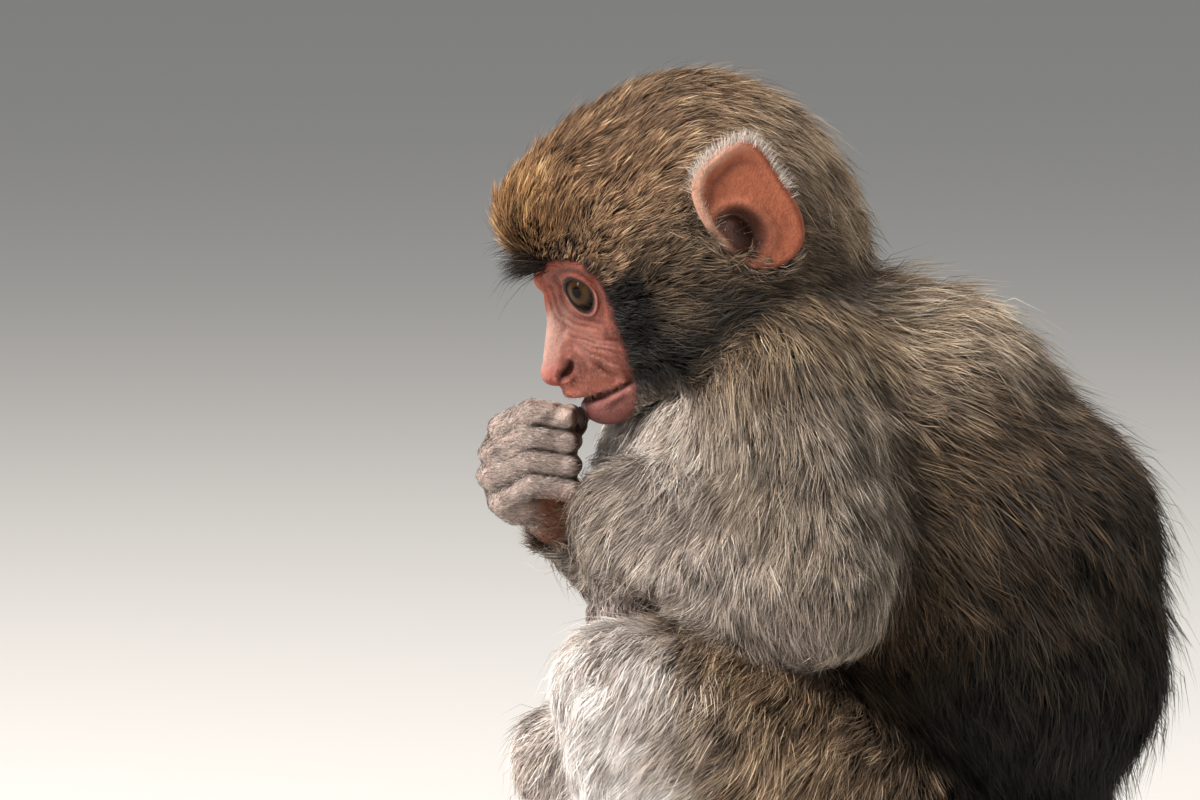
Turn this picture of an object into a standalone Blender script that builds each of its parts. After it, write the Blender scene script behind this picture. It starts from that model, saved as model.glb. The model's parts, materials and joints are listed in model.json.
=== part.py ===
# Young Japanese macaque, seated with its knees drawn up and its right fist at its mouth.
# +Z is up, the animal faces -Y and its left side is +X. Its seat and soles rest at Z = 0.
# Sizes below are in millimetres, out to the tips of the coat on the furred parts.

import math

import bmesh
import bpy
from mathutils import Matrix, Vector

MM = 0.001
GAP = 0.34  # space left between two touching pieces
SHIFT = Vector((2.6, -2.55, 0.0))  # brings the middle of the whole animal over the origin

HEAD_CENTRE = Vector((2.0, -22.8, 213.1))
HEAD_YAW = 9.0  # the face turns to the animal's left
HEAD_PITCH = 36.0  # and down

EYE_RADIUS = 8.4
CORNEA_RADIUS = 5.2
CORNEA_FORWARD = 3.4
EYE_PLACE = (25.4, 12.5, 9.9)  # forward, sideways, up from the middle of the braincase
LID_THICKNESS = 1.7
LIDS_PART = (33.0, 5.0)  # degrees outward and up from straight ahead, middle of the gap
EYE_OPENING = (4.6, 5.2, 4.3)  # that gap's depth, width and height, as radii
GAZE = (0.771, -0.602, -0.208)

# Joint centres
SHOULDER = {"left": (31, 6, 181), "right": (-31, 6, 178)}
ELBOW = {"left": (60, 18, 121), "right": (-53, -6, 96)}
WRIST = {"left": (22, -38, 140), "right": (-12, -57, 138)}
HIP = {"left": (27, 40, 42), "right": (-27, 40, 40)}
KNEE = {"left": (52, -40, 96), "right": (-62, -52, 60)}
ANKLE = {"left": (44, -36, 17), "right": (-42, 4, 16)}
HEEL = {"left": (43, -24, 9.6), "right": (-38, 18, 9.6)}
TOES = {"left": (50, -106, 0), "right": (-56, -78, 0)}

COAT = (0.17, 0.11, 0.07, 1.0)
PALE_COAT = (0.55, 0.45, 0.38, 1.0)
BARE_SKIN = (0.48, 0.13, 0.09, 1.0)
HAND_SKIN = (0.36, 0.26, 0.21, 1.0)
IRIS = (0.10, 0.06, 0.02, 1.0)


def clear_scene():
    for old in list(bpy.data.objects):
        bpy.data.objects.remove(old)
    for old in list(bpy.data.collections):
        bpy.data.collections.remove(old)


def collection(name):
    made = bpy.data.collections.new(name)
    bpy.context.scene.collection.children.link(made)
    return made


clear_scene()
MACAQUE = collection("macaque")
CUTTERS = collection("cutters")


# ---------- directions of the head ----------

yaw, pitch = math.radians(HEAD_YAW), math.radians(HEAD_PITCH)
FORWARD = Vector(
    (
        math.sin(yaw) * math.cos(pitch),
        -math.cos(yaw) * math.cos(pitch),
        -math.sin(pitch),
    )
)
SIDEWAYS = Vector((math.cos(yaw), math.sin(yaw), 0.0))
UPWARD = FORWARD.cross(SIDEWAYS)
HEAD_TURN = Matrix((FORWARD, SIDEWAYS, UPWARD)).transposed()


def head_point(forward, sideways, up):
    return HEAD_CENTRE + FORWARD * forward + SIDEWAYS * sideways + UPWARD * up


# ---------- shapes ----------


def ball(centre, radii, turn=None, detail=3):
    """An ellipsoid, its axes turned by a 3 x 3 matrix."""
    bm = bmesh.new()
    turn = turn.to_4x4() if turn is not None else Matrix.Identity(4)
    place = Matrix.Translation(Vector(centre)) @ turn @ Matrix.Diagonal((*radii, 1.0))
    bmesh.ops.create_icosphere(bm, subdivisions=detail, radius=1.0, matrix=place)
    return bm


def head_ball(place, radii, detail=3):
    """An ellipsoid in the head's own directions: forward, sideways, up."""
    return ball(head_point(*place), radii, HEAD_TURN, detail)


def head_pair(place, radii, detail=3):
    forward, side, up = place
    return [head_ball((forward, s * side, up), radii, detail) for s in (1, -1)]


def limb(start, end, start_radius, end_radius, detail=3):
    """A tapered, round-ended length between two joints."""
    bm = bmesh.new()
    for place, radius in ((start, start_radius), (end, end_radius)):
        bmesh.ops.create_icosphere(
            bm, subdivisions=detail, radius=radius, matrix=Matrix.Translation(Vector(place))
        )
    hull = bmesh.ops.convex_hull(bm, input=bm.verts)
    inside = [v for v in hull["geom_interior"] if isinstance(v, bmesh.types.BMVert)]
    bmesh.ops.delete(bm, geom=inside, context="VERTS")
    return bm


def head_limb(start, end, start_radius, end_radius):
    return limb(head_point(*start), head_point(*end), start_radius, end_radius, 2)


def chain(points, radii, detail=3):
    """Lengths joined end to end."""
    pairs = zip(zip(points, radii), zip(points[1:], radii[1:]))
    return [limb(a, b, ra, rb, detail) for (a, ra), (b, rb) in pairs]


def piece(name, shapes, group=None):
    """One object holding every shape, in metres."""
    whole = bmesh.new()
    for shape in shapes:
        mesh = bpy.data.meshes.new("shape")
        shape.to_mesh(mesh)
        shape.free()
        whole.from_mesh(mesh)
        bpy.data.meshes.remove(mesh)
    bmesh.ops.scale(whole, vec=(MM, MM, MM), verts=whole.verts)
    bmesh.ops.recalc_face_normals(whole, faces=whole.faces)
    mesh = bpy.data.meshes.new(name)
    whole.to_mesh(mesh)
    whole.free()
    made = bpy.data.objects.new(name, mesh)
    (group or MACAQUE).objects.link(made)
    return made


def settle(thing):
    """The object's modifiers made part of its mesh."""
    graph = bpy.context.evaluated_depsgraph_get()
    mesh = bpy.data.meshes.new_from_object(thing.evaluated_get(graph))
    thing.modifiers.clear()
    thing.data = mesh
    return thing


def triangles(thing):
    return sum(len(face.vertices) - 2 for face in thing.data.polygons)


def blend(thing, voxel, rounds, count):
    """The shapes grown together into one skin, eased, and thinned to about count triangles."""
    remesh = thing.modifiers.new("grow_together", "REMESH")
    remesh.mode = "VOXEL"
    remesh.voxel_size = voxel * MM
    smooth = thing.modifiers.new("ease", "SMOOTH")
    smooth.factor = 0.5
    smooth.iterations = rounds
    settle(thing)
    keep_largest(thing)
    thin = thing.modifiers.new("thin_out", "DECIMATE")
    thin.ratio = min(1.0, count / triangles(thing))
    thin.use_collapse_triangulate = True
    return settle(thing)


def keep_largest(thing):
    """Removes every scrap that isn't joined to the largest body."""
    bm = bmesh.new()
    bm.from_mesh(thing.data)
    left = set(bm.verts)
    bodies = []
    while left:
        edge = [left.pop()]
        body = set(edge)
        while edge:
            vert = edge.pop()
            for link in vert.link_edges:
                other = link.other_vert(vert)
                if other in left:
                    left.discard(other)
                    body.add(other)
                    edge.append(other)
        bodies.append(body)
    bodies.sort(key=len, reverse=True)
    scraps = [vert for body in bodies[1:] for vert in body]
    bmesh.ops.delete(bm, geom=scraps, context="VERTS")
    bm.to_mesh(thing.data)
    bm.free()


def combine(thing, cutter, operation, solver="EXACT"):
    step = thing.modifiers.new("cut", "BOOLEAN")
    step.operation = operation
    step.solver = solver
    step.object = cutter
    settle(thing)
    keep_largest(thing)
    return thing


def copy_of(thing, name, group=None):
    made = thing.copy()
    made.data = thing.data.copy()
    made.name = name
    (group or MACAQUE).objects.link(made)
    return made


def swollen(thing, by):
    """A cutter a little larger than the piece, so that what it cuts stands clear."""
    cutter = copy_of(thing, "clear_" + thing.name, CUTTERS)
    bm = bmesh.new()
    bm.from_mesh(cutter.data)
    bm.normal_update()
    moved = [vert.co + vert.normal * vert.calc_shell_factor() * by * MM for vert in bm.verts]
    for vert, place in zip(bm.verts, moved):
        vert.co = place
    bm.to_mesh(cutter.data)
    bm.free()
    return as_cutter(cutter)


def as_cutter(thing):
    thing.hide_render = True
    thing.display_type = "WIRE"
    return thing


def slab(point, normal, reach=400.0):
    """A block that fills one side of a plane."""
    bm = bmesh.new()
    turn = Vector(normal).to_track_quat("Z", "Y").to_matrix().to_4x4()
    lift = Matrix.Translation((0, 0, reach / 2))
    place = Matrix.Translation(Vector(point)) @ turn @ lift
    bmesh.ops.create_cube(bm, size=reach, matrix=place)
    return as_cutter(piece("slab", [bm], CUTTERS))


def ledge(edge, normal, inward, reach=400.0):
    """A block above a plane, that stops at an edge across it."""
    normal, inward = Vector(normal).normalized(), Vector(inward).normalized()
    turn = Matrix((normal.cross(inward), inward, normal)).transposed().to_4x4()
    middle = Vector(edge) + (normal + inward) * reach / 2
    bm = bmesh.new()
    bmesh.ops.create_cube(bm, size=reach, matrix=Matrix.Translation(middle) @ turn)
    bmesh.ops.recalc_face_normals(bm, faces=bm.faces)
    return as_cutter(piece("ledge", [bm], CUTTERS))


def part_at(thing, name, point, normal):
    """Takes what lies on the normal's side of a plane off as a new piece, a thin cut between."""
    normal = Vector(normal).normalized()
    point = Vector(point)
    taken = copy_of(thing, name)
    combine(taken, slab(point + normal * GAP / 2, normal), "INTERSECT", "MANIFOLD")
    combine(thing, slab(point - normal * GAP / 2, normal), "DIFFERENCE", "MANIFOLD")
    return taken


def near(thing, other, room=1.0):
    """Whether the boxes of two pieces come within room of each other."""
    boxes = []
    for item in (thing, other):
        corners = [vert.co for vert in item.data.vertices]
        low = [min(place[axis] for place in corners) for axis in range(3)]
        high = [max(place[axis] for place in corners) for axis in range(3)]
        boxes.append((low, high))
    (low_a, high_a), (low_b, high_b) = boxes
    room *= MM
    return all(low_a[i] < high_b[i] + room and low_b[i] < high_a[i] + room for i in range(3))


def stand_clear(thing, others):
    """Cuts a piece back from its neighbours. EXACT loses pieces that lie this close together."""
    for other in others:
        if near(thing, other):
            combine(thing, swollen(other, GAP), "DIFFERENCE", "MANIFOLD")
            combine(thing, other, "DIFFERENCE", "MANIFOLD")
    return thing


def colour(thing, name, rgba, roughness):
    material = bpy.data.materials.new(name + "_" + thing.name)
    material.use_nodes = True
    shader = material.node_tree.nodes["Principled BSDF"]
    shader.inputs["Base Color"].default_value = rgba
    shader.inputs["Roughness"].default_value = roughness
    thing.data.materials.clear()
    thing.data.materials.append(material)


# ---------- head, neck and trunk ----------

TRUNK = [
    ball((0, 8, 185), (36, 38, 31)),  # neck
    ball((0, 39, 163), (46, 50, 44.5)),  # shoulders and withers
    ball((0, 4, 150), (40, 36, 40)),  # breast
    ball((16, -8, 152), (32, 26, 34)),  # fur of the breast, pushed up by the raised arm
    ball((-10, -15, 147), (30, 28, 28)),
    ball((-12, -26, 157), (24, 25, 16)),
    ball((0, 57.5, 128), (51, 58.5, 52.5)),  # back of the ribs
    ball((0, 63, 98), (52, 55, 51)),  # loins
    ball((0, 20, 96), (44, 42, 48)),  # belly
    ball((0, 49, 48.5), (52, 51, 51)),  # rump
]

CRANIUM = [
    head_ball((-10, 0, 0), (43.5, 42, 49.5)),
    head_ball((5, 0, 22), (31, 35, 29)),
    head_ball((19.5, 0, 32), (21.5, 28, 17.5)),  # hair bunched over the brow
    *head_pair((0, 21, -15), (30, 22, 24)),  # cheek whiskers
    head_ball((-8, 0, -26), (34, 32, 26)),  # throat and nape
]

FACE = [
    head_ball((14, 0, 3), (22.0, 26, 23)),  # front of the skull
    head_ball((25, 0, 2), (13.5, 8.5, 16)),  # between the eyes
    *head_pair((19.5, 16.5, 8), (11.5, 10, 13)),  # rims of the eye sockets
    *head_pair(EYE_PLACE, (EYE_RADIUS + LID_THICKNESS,) * 3),  # lids
    head_limb((25.5, -21, 16), (31.5, -12, 18.5), 4.2, 4.3),  # brow ridge
    head_limb((25.5, 21, 16), (31.5, 12, 18.5), 4.2, 4.3),
    head_limb((31.5, -12, 18.5), (31.5, 12, 18.5), 4.3, 4.3),
    head_ball((31, 0, 17.5), (7.5, 7, 5)),
    head_limb((33.5, 0, 15), (38.5, 0, 5), 4.0, 4.4),  # bridge of the nose
    head_limb((38.5, 0, 5), (45.8, 0, -4.3), 4.4, 5.2),
    head_ball((46.8, 0, -5.2), (5.8, 6.2, 4.6)),  # tip of the nose
    head_ball((33, 0, -8.5), (16.6, 16.5, 12.5)),  # muzzle
    head_ball((40, 0, -12.0), (9.7, 11.8, 5.6)),  # upper lip
    *head_pair((22.5, 16.5, -1), (10.5, 9.5, 9.5)),  # cheekbones
    *head_pair((23, 12.5, -10), (14.5, 10.5, 12)),  # cheeks
]

JAW = [
    head_ball((37.2, 0, -20.6), (11.0, 12.5, 7.0)),
    head_limb((35, 8, -19.5), (14, 18, -20), 7.0, 10.5),
    head_limb((35, -8, -19.5), (14, -18, -20), 7.0, 10.5),
]

NECK_CUT = ((0, 4, 188), (0, -0.64, 0.77))
NECK_FRONT = (0, -12, 174.7)  # where that cut stops, under the chin
MOUTH = ((36, 0, -15.6), (0.10, 0, -1.0))  # in the head's own directions
JAW_BACK = 22.0
CHEST_CUT = ((0, 20, 168), (0, -0.48, 0.88))
BELLY_CUT = ((0, 45, 112), (0, -0.15, 0.99))
PELVIS_CUT = ((0, 45, 66), (0, 0.1, 1.0))


def lid_opening(side):
    """The ellipsoid that parts the lids."""
    outward, up = (math.radians(angle) for angle in LIDS_PART)
    ahead = Vector((math.cos(outward), math.sin(outward) * side, math.tan(up))).normalized()
    across = ahead.cross(Vector((0, 0, 1))).normalized()
    over = across.cross(ahead)
    turn = HEAD_TURN @ Matrix((ahead, across, over)).transposed()
    forward, sideways, up = EYE_PLACE
    centre = Vector((forward, side * sideways, up)) + ahead * (EYE_RADIUS + 0.8)
    return ball(head_point(*centre), EYE_OPENING, turn, 2)


def eyeball(side, grown=0.0, detail=3):
    """The globe and the cornea on it, which looks along the gaze."""
    forward, sideways, up = EYE_PLACE
    centre = head_point(forward, side * sideways, up)
    cornea = centre + Vector(GAZE).normalized() * CORNEA_FORWARD
    return [
        ball(centre, (EYE_RADIUS + grown,) * 3, None, detail),
        ball(cornea, (CORNEA_RADIUS + grown,) * 3, None, detail),
    ]


def build_head():
    head = piece("head", CRANIUM + FACE + JAW + [ball((0, 8, 185), (36, 38, 31))])
    blend(head, 1.0, 4, 1150)
    for side in (1, -1):
        for shape in (lid_opening(side), eyeball(side, 0.5)[0]):
            combine(head, as_cutter(piece("socket", [shape], CUTTERS)), "DIFFERENCE")
    for hollow in head_pair(EAR_HOLLOW, EAR_HOLLOW_RADII, 2):
        combine(head, as_cutter(piece("ear_hollow", [hollow], CUTTERS)), "DIFFERENCE")
    combine(head, slab(NECK_CUT[0], [-v for v in NECK_CUT[1]]), "DIFFERENCE")
    return head


def build_trunk(head, jaw):
    trunk = piece("chest", [ball((2, -8, 206), (38, 34, 40)), *TRUNK])
    blend(trunk, 2.5, 8, 600)
    normal = Vector(NECK_CUT[1]).normalized()
    along = Vector((0, normal.z, -normal.y))
    combine(trunk, ledge(Vector(NECK_FRONT) - normal * GAP, normal, along), "DIFFERENCE")
    stand_clear(trunk, [head, jaw])
    combine(trunk, slab((0, 0, 0), (0, 0, -1)), "DIFFERENCE", "MANIFOLD")
    neck = part_at(trunk, "neck", *CHEST_CUT)
    pelvis = part_at(trunk, "pelvis", PELVIS_CUT[0], [-v for v in PELVIS_CUT[1]])
    belly = part_at(trunk, "belly", BELLY_CUT[0], [-v for v in BELLY_CUT[1]])
    return neck, trunk, belly, pelvis


# ---------- ears and eyes ----------

EAR = {
    "middle": (-19.4, 43.5, 6.6),
    "length": 18.5,
    "width": 15.2,
    "flare": 8.0,
    "thickness": 2.2,
    "rings": 6,
    "spokes": 20,
}
EAR_HOLLOW = (-19.4, 51.5, 6.0)  # where the hair lies flat round the ear
EAR_HOLLOW_RADII = (21.0, 14.5, 24.0)


def ear_surface(ring, angle):
    """A point of the ear's hollow face: forward, sideways, up from its middle."""
    tall = EAR["length"] * (1.0 + 0.10 * math.cos(angle) + 0.05 * math.cos(3 * angle))
    wide = EAR["width"] * (1.0 - 0.08 * math.cos(angle))
    up = ring * tall * math.cos(angle)
    back = ring * wide * math.sin(angle)
    rim = 2.6 * max(0.0, ring - 0.72) / 0.28
    bowl = -6.0 * max(0.0, 1.0 - ((up + 3.0) ** 2 + (back - 1.0) ** 2) / 64.0)
    flare = EAR["flare"] * (back / EAR["width"]) * 0.6
    return -back - 0.35 * up, flare + rim + bowl, up


def ear(side):
    bm = bmesh.new()
    faces = []
    for layer in (0, 1):
        drop = -EAR["thickness"] * layer
        centre = bm.verts.new((*ear_surface(0, 0)[:1], ear_surface(0, 0)[1] + drop, 0))
        rings = []
        for r in range(1, EAR["rings"] + 1):
            share = r / EAR["rings"]
            ring = []
            for s in range(EAR["spokes"]):
                f, w, u = ear_surface(share, math.tau * s / EAR["spokes"])
                ring.append(bm.verts.new((f, w + drop, u)))
            rings.append(ring)
        faces.append((centre, rings))
    for layer, (centre, rings) in enumerate(faces):
        count = EAR["spokes"]
        for s in range(count):
            t = (s + 1) % count
            loop = [centre, rings[0][s], rings[0][t]]
            bm.faces.new(loop if layer == 0 else loop[::-1])
            for inner, outer in zip(rings, rings[1:]):
                loop = [inner[s], outer[s], outer[t], inner[t]]
                bm.faces.new(loop if layer == 0 else loop[::-1])
    top, under = faces[0][1][-1], faces[1][1][-1]
    for s in range(EAR["spokes"]):
        t = (s + 1) % EAR["spokes"]
        bm.faces.new([top[s], under[s], under[t], top[t]])
    forward, sideways, up = EAR["middle"]
    for vert in bm.verts:
        f, w, u = vert.co
        vert.co = head_point(forward + f, side * (sideways + w), up + u)
    bmesh.ops.recalc_face_normals(bm, faces=bm.faces)
    root = head_ball((-12.5, side * 37, 2.0), (5, 7, 8), 2)
    name = "ear_left" if side > 0 else "ear_right"
    made = piece(name, [bm, root])
    return blend(made, 0.7, 1, 200)


def eye(side):
    name = "eye_left" if side > 0 else "eye_right"
    return blend(piece(name, eyeball(side)), 0.5, 0, 180)


# ---------- arms ----------


def bend_plane(before, joint, after):
    """The plane that halves a bent joint, its normal on the far length's side."""
    joint = Vector(joint)
    back = (Vector(before) - joint).normalized()
    on = (Vector(after) - joint).normalized()
    return joint, on - back


def fist():
    """The right hand, closed, its knuckles forward and the first finger against the lips."""
    shapes = [
        limb(WRIST["right"], (-6, -66, 151), 10.5, 12),
        limb((-4, -67, 160), (0, -68, 148), 12.5, 12.5),
    ]
    for number in range(4):
        height = 168.8 - 8.0 * number
        inset = (0.0, -1.5, -1.0, 2.0)[number]
        knuckle = (8, -72.5 + inset, height - 1.0)
        middle = (11, -55.0 + 0.4 * number, height)
        tip = (-2, -53.5, height - 1.5)
        shapes += chain([(-4, -70 + inset, height - 3), knuckle, middle, tip], [6.4, 5.4, 4.9, 3.9])
    shapes += chain([(-8, -59, 152), (-6, -55.5, 164), (4, -52, 166.5)], [7.0, 5.0, 3.8])
    return shapes


def open_hand():
    """The left hand, hanging loosely from the wrist between the knees."""
    wrist = Vector(WRIST["left"])
    shapes = [limb(wrist + Vector((-4, 1, -8)), wrist + Vector((-7, 1, -24)), 11, 10.5)]
    for number in range(4):
        spread = -7.5 + 5.0 * number
        root = wrist + Vector((-7 + spread * 0.4, 1 + spread, -28))
        middle = root + Vector((-4, 0.15 * spread, -15))
        tip = middle + Vector((-2, 5 + 0.1 * spread, -10))
        shapes += chain([root, middle, tip], [4.9, 4.1, 3.4])
    shapes += chain([wrist + Vector((-9, -4, -10)), wrist + Vector((-16, -3, -22))], [5.0, 3.6])
    return shapes


def build_arm(side):
    shoulder, elbow, wrist = SHOULDER[side], ELBOW[side], WRIST[side]
    swing = 1 if side == "left" else -1
    upper = [
        limb(shoulder, elbow, 27, 17),
        limb((shoulder[0], shoulder[1] + 4, shoulder[2] - 20), elbow, 28, 17),
    ]
    middle = Vector(elbow).lerp(Vector(wrist), 0.45)
    lower = chain([elbow, middle, wrist], [17.5, 17.5, 12.5])
    if side == "left":
        lower = chain([elbow, middle, wrist], [18.0, 21.0, 17.5])
    hand = fist() if side == "right" else open_hand()
    arm = piece("upper_arm_" + side, upper + lower)
    blend(arm, 2.0, 6, 270)
    lower_arm = part_at(arm, "forearm_" + side, *bend_plane(shoulder, elbow, wrist))
    palm = piece("hand_" + side, hand)
    blend(palm, 0.9, 2, 400 if side == "right" else 240)
    if side == "right":
        toward = (Vector(wrist) - Vector(elbow)).normalized()
        combine(palm, slab(Vector(wrist) + toward * (GAP / 2), toward), "INTERSECT", "MANIFOLD")
        combine(lower_arm, slab(Vector(wrist) - toward * (GAP / 2), toward), "DIFFERENCE", "MANIFOLD")
    return arm, lower_arm, palm


# ---------- legs ----------


def foot_shapes(side):
    swing = 1 if side == "left" else -1
    heel, toes = Vector(HEEL[side]), Vector(TOES[side])
    along = toes - heel
    along.z = 0
    length = along.length
    along.normalize()
    across = Vector((-along.y, along.x, 0)) * -1
    inward = across if across.x * swing < 0 else -across
    shapes = chain(
        [heel, heel + along * length * 0.32 + Vector((0, 0, 3)), heel + along * length * 0.70 - Vector((0, 0, 0.6))],
        [11.0, 13.0, 10.5],
    )
    for number in range(4):
        spread = 7.5 - 5.6 * number
        root = heel + along * length * 0.66 + inward * spread
        middle = heel + along * (length * 0.88 - 2.2 * abs(number - 1)) + inward * spread * 1.15
        tip = heel + along * (length * 1.08 - 3.4 * abs(number - 1)) + inward * spread * 1.2
        root.z, middle.z, tip.z = 5.4, 6.2, 3.0
        shapes += chain([root, middle, tip], [6.0, 5.0, 4.0])
    start = heel + along * length * 0.34 + inward * 6
    bend = heel + along * length * 0.52 + inward * 17
    tip = heel + along * length * 0.70 + inward * 21
    start.z, bend.z, tip.z = 6.4, 5.2, 4.0
    shapes += chain([start, bend, tip], [7.0, 5.8, 4.6])
    return shapes


def build_leg(side):
    hip, knee, ankle = HIP[side], KNEE[side], ANKLE[side]
    middle = Vector(hip).lerp(Vector(knee), 0.5)
    middle += Vector((0, 0, 4))
    thigh_shapes = chain([hip, middle, knee], [37, 35, 21])
    calf = Vector(knee).lerp(Vector(ankle), 0.4) + Vector((0, 4, 0))
    shank_shapes = chain([knee, calf, ankle], [19.5, 18.5, 12.5])
    thigh = piece("thigh_" + side, thigh_shapes + shank_shapes)
    blend(thigh, 2.2, 6, 290)
    combine(thigh, slab((0, 0, 0), (0, 0, -1)), "DIFFERENCE", "MANIFOLD")
    shank = part_at(thigh, "shank_" + side, *bend_plane(hip, knee, ankle))
    foot = piece("foot_" + side, foot_shapes(side) + [limb(ankle, HEEL[side], 12.0, 10.5)])
    blend(foot, 1.2, 2, 300)
    combine(foot, slab((0, 0, 0), (0, 0, -1)), "DIFFERENCE", "MANIFOLD")
    foot_top = Vector(ankle) + Vector((0, 0, 4))
    combine(foot, slab(foot_top - Vector((0, 0, GAP)), (0, 0, 1)), "DIFFERENCE", "MANIFOLD")
    combine(shank, slab(foot_top, (0, 0, -1)), "DIFFERENCE", "MANIFOLD")
    return thigh, shank, foot


def take_jaw(head):
    """The lower jaw: what lies below the mouth and ahead of the cheeks."""
    middle, down = head_point(*MOUTH[0]), (HEAD_TURN @ Vector(MOUTH[1])).normalized()
    back = head_point(JAW_BACK, 0, 0)
    jaw = copy_of(head, "jaw")
    combine(jaw, slab(middle + down * GAP / 2, down), "INTERSECT")
    combine(jaw, slab(back + FORWARD * GAP / 2, FORWARD), "INTERSECT")
    corner = slab(middle - down * GAP / 2, down)
    combine(corner, slab(back - FORWARD * GAP / 2, FORWARD), "INTERSECT")
    combine(head, corner, "DIFFERENCE")
    return jaw


def build():
    head = build_head()
    jaw = take_jaw(head)
    ears = [ear(side) for side in (1, -1)]
    stand_clear(head, ears)
    neck, chest, belly, pelvis = build_trunk(head, jaw)
    tail = piece("tail", chain([(0, 92, 34), (0, 108, 20), (0, 112, 13)], [15, 13, 10]))
    blend(tail, 1.6, 4, 140)
    stand_clear(tail, [pelvis])
    eyes = [eye(side) for side in (1, -1)]
    torso = [neck, chest, belly, pelvis]
    legs = []
    for side in ("left", "right"):
        thigh, shank, foot = build_leg(side)
        stand_clear(thigh, torso)
        stand_clear(shank, [*torso, thigh])
        stand_clear(foot, [*torso, thigh, shank])
        legs += [thigh, shank, foot]
    arms = []
    for side in ("left", "right"):
        arm, lower_arm, palm = build_arm(side)
        stand_clear(arm, [*torso, head, jaw, *legs])
        stand_clear(lower_arm, [*torso, head, jaw, arm, *legs, *arms])
        stand_clear(palm, [*torso, head, jaw, arm, lower_arm, *legs, *arms])
        arms += [arm, lower_arm, palm]
    for thing in (neck, chest, belly, pelvis, tail, head, *legs, *arms):
        colour(thing, "coat", COAT, 0.8)
    for thing in (jaw, *ears):
        colour(thing, "bare_skin", BARE_SKIN, 0.55)
    for thing in eyes:
        colour(thing, "eye", IRIS, 0.15)
    for thing in MACAQUE.objects:
        thing.data.transform(Matrix.Translation(SHIFT * MM))
        for face in thing.data.polygons:
            face.use_smooth = True


build()
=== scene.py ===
# A young Japanese macaque, seated, as a still life-size model: one skin, a coat of mesh tufts,
# glass eyes and nails. Work is done in millimetres and turned to metres at the end of each piece.

import json
import math
import bmesh
import bpy
import numpy as np
from mathutils import Matrix, Vector, kdtree
from mathutils.bvhtree import BVHTree

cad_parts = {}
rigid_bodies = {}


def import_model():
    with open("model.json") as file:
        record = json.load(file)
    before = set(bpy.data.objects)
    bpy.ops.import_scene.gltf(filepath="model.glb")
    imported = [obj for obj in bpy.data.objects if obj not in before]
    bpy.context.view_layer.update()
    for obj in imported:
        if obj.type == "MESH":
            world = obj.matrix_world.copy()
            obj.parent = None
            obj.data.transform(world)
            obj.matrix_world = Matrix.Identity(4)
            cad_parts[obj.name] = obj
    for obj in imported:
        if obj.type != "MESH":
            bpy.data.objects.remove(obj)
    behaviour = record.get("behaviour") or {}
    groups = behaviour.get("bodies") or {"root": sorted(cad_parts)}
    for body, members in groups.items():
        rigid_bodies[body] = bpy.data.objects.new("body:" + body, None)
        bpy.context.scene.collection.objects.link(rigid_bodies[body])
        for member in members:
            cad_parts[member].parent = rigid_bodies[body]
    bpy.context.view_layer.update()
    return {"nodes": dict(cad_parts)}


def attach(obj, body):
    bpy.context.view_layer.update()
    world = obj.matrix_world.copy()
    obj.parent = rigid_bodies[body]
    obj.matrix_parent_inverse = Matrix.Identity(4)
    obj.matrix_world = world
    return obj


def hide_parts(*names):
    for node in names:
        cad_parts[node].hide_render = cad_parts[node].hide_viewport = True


for thing in list(bpy.data.objects):
    bpy.data.objects.remove(thing)
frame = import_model()
chance = np.random.default_rng(41)

# where the body lies, in mm
head = {
    "centre": (4.6, -25.35, 213.1),
    "yaw": 9.0,
    "pitch": 36.0,
}
joints = {
    "shoulderLeft": (33.6, 3.45, 181), "elbowLeft": (62.6, 15.45, 121), "wristLeft": (24.6, -40.55, 140),
    "shoulderRight": (-28.4, 3.45, 178), "elbowRight": (-50.4, -8.55, 96), "wristRight": (-9.4, -59.55, 138),
    "ankleLeft": (46.6, -38.55, 17), "heelLeft": (45.6, -26.55, 9.6), "toesLeft": (52.6, -108.55, 0),
    "ankleRight": (-39.4, 1.45, 16), "heelRight": (-35.4, 15.45, 9.6), "toesRight": (-53.4, -80.55, 0),
}
joints = {name: np.array(place, float) for name, place in joints.items()}


def unit(v):
    v = np.asarray(v, float)
    return v / np.maximum(np.linalg.norm(v, axis=-1, keepdims=True), 1e-9)


def ramp(low, high, x):
    t = np.clip((x - low) / (high - low), 0.0, 1.0)
    return t * t * (3 - 2 * t)


def bump(distance, width):
    return np.exp(-(distance / width) ** 2)


yaw, pitch = math.radians(head["yaw"]), math.radians(head["pitch"])
forward = np.array((math.sin(yaw) * math.cos(pitch), -math.cos(yaw) * math.cos(pitch), -math.sin(pitch)))
sideways = np.array((math.cos(yaw), math.sin(yaw), 0.0))
headAxes = np.array((forward, sideways, np.cross(forward, sideways)))
headTurn = Matrix(headAxes.tolist()).transposed()


def toHead(points):
    return (np.asarray(points, float) - head["centre"]) @ headAxes.T


def fromHead(local):
    return np.asarray(head["centre"]) + np.asarray(local, float) @ headAxes


def newObject(name, data):
    made = bpy.data.objects.new(name, data)
    bpy.context.scene.collection.objects.link(made)
    return made


def meshIn(mesh):
    bm = bmesh.new()
    bm.from_mesh(mesh)
    return bm


def meshOut(bm, mesh):
    bm.to_mesh(mesh)
    bm.free()
    return mesh


def readAll(items, what, width, kind=float):
    # one value of every item of a mesh, as the rows of an array
    found = np.empty(len(items) * width, kind)
    items.foreach_get(what, found)
    return found.reshape(-1, width)


def shadeSmooth(mesh):
    mesh.polygons.foreach_set("use_smooth", np.ones(len(mesh.polygons), bool))


def storeTones(mesh, name, tones):
    tone = mesh.attributes.new(name, "FLOAT_COLOR", "POINT")
    tone.data.foreach_set("color", np.concatenate([tones, np.ones((*tones.shape[:-1], 1))], -1).ravel())


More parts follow.
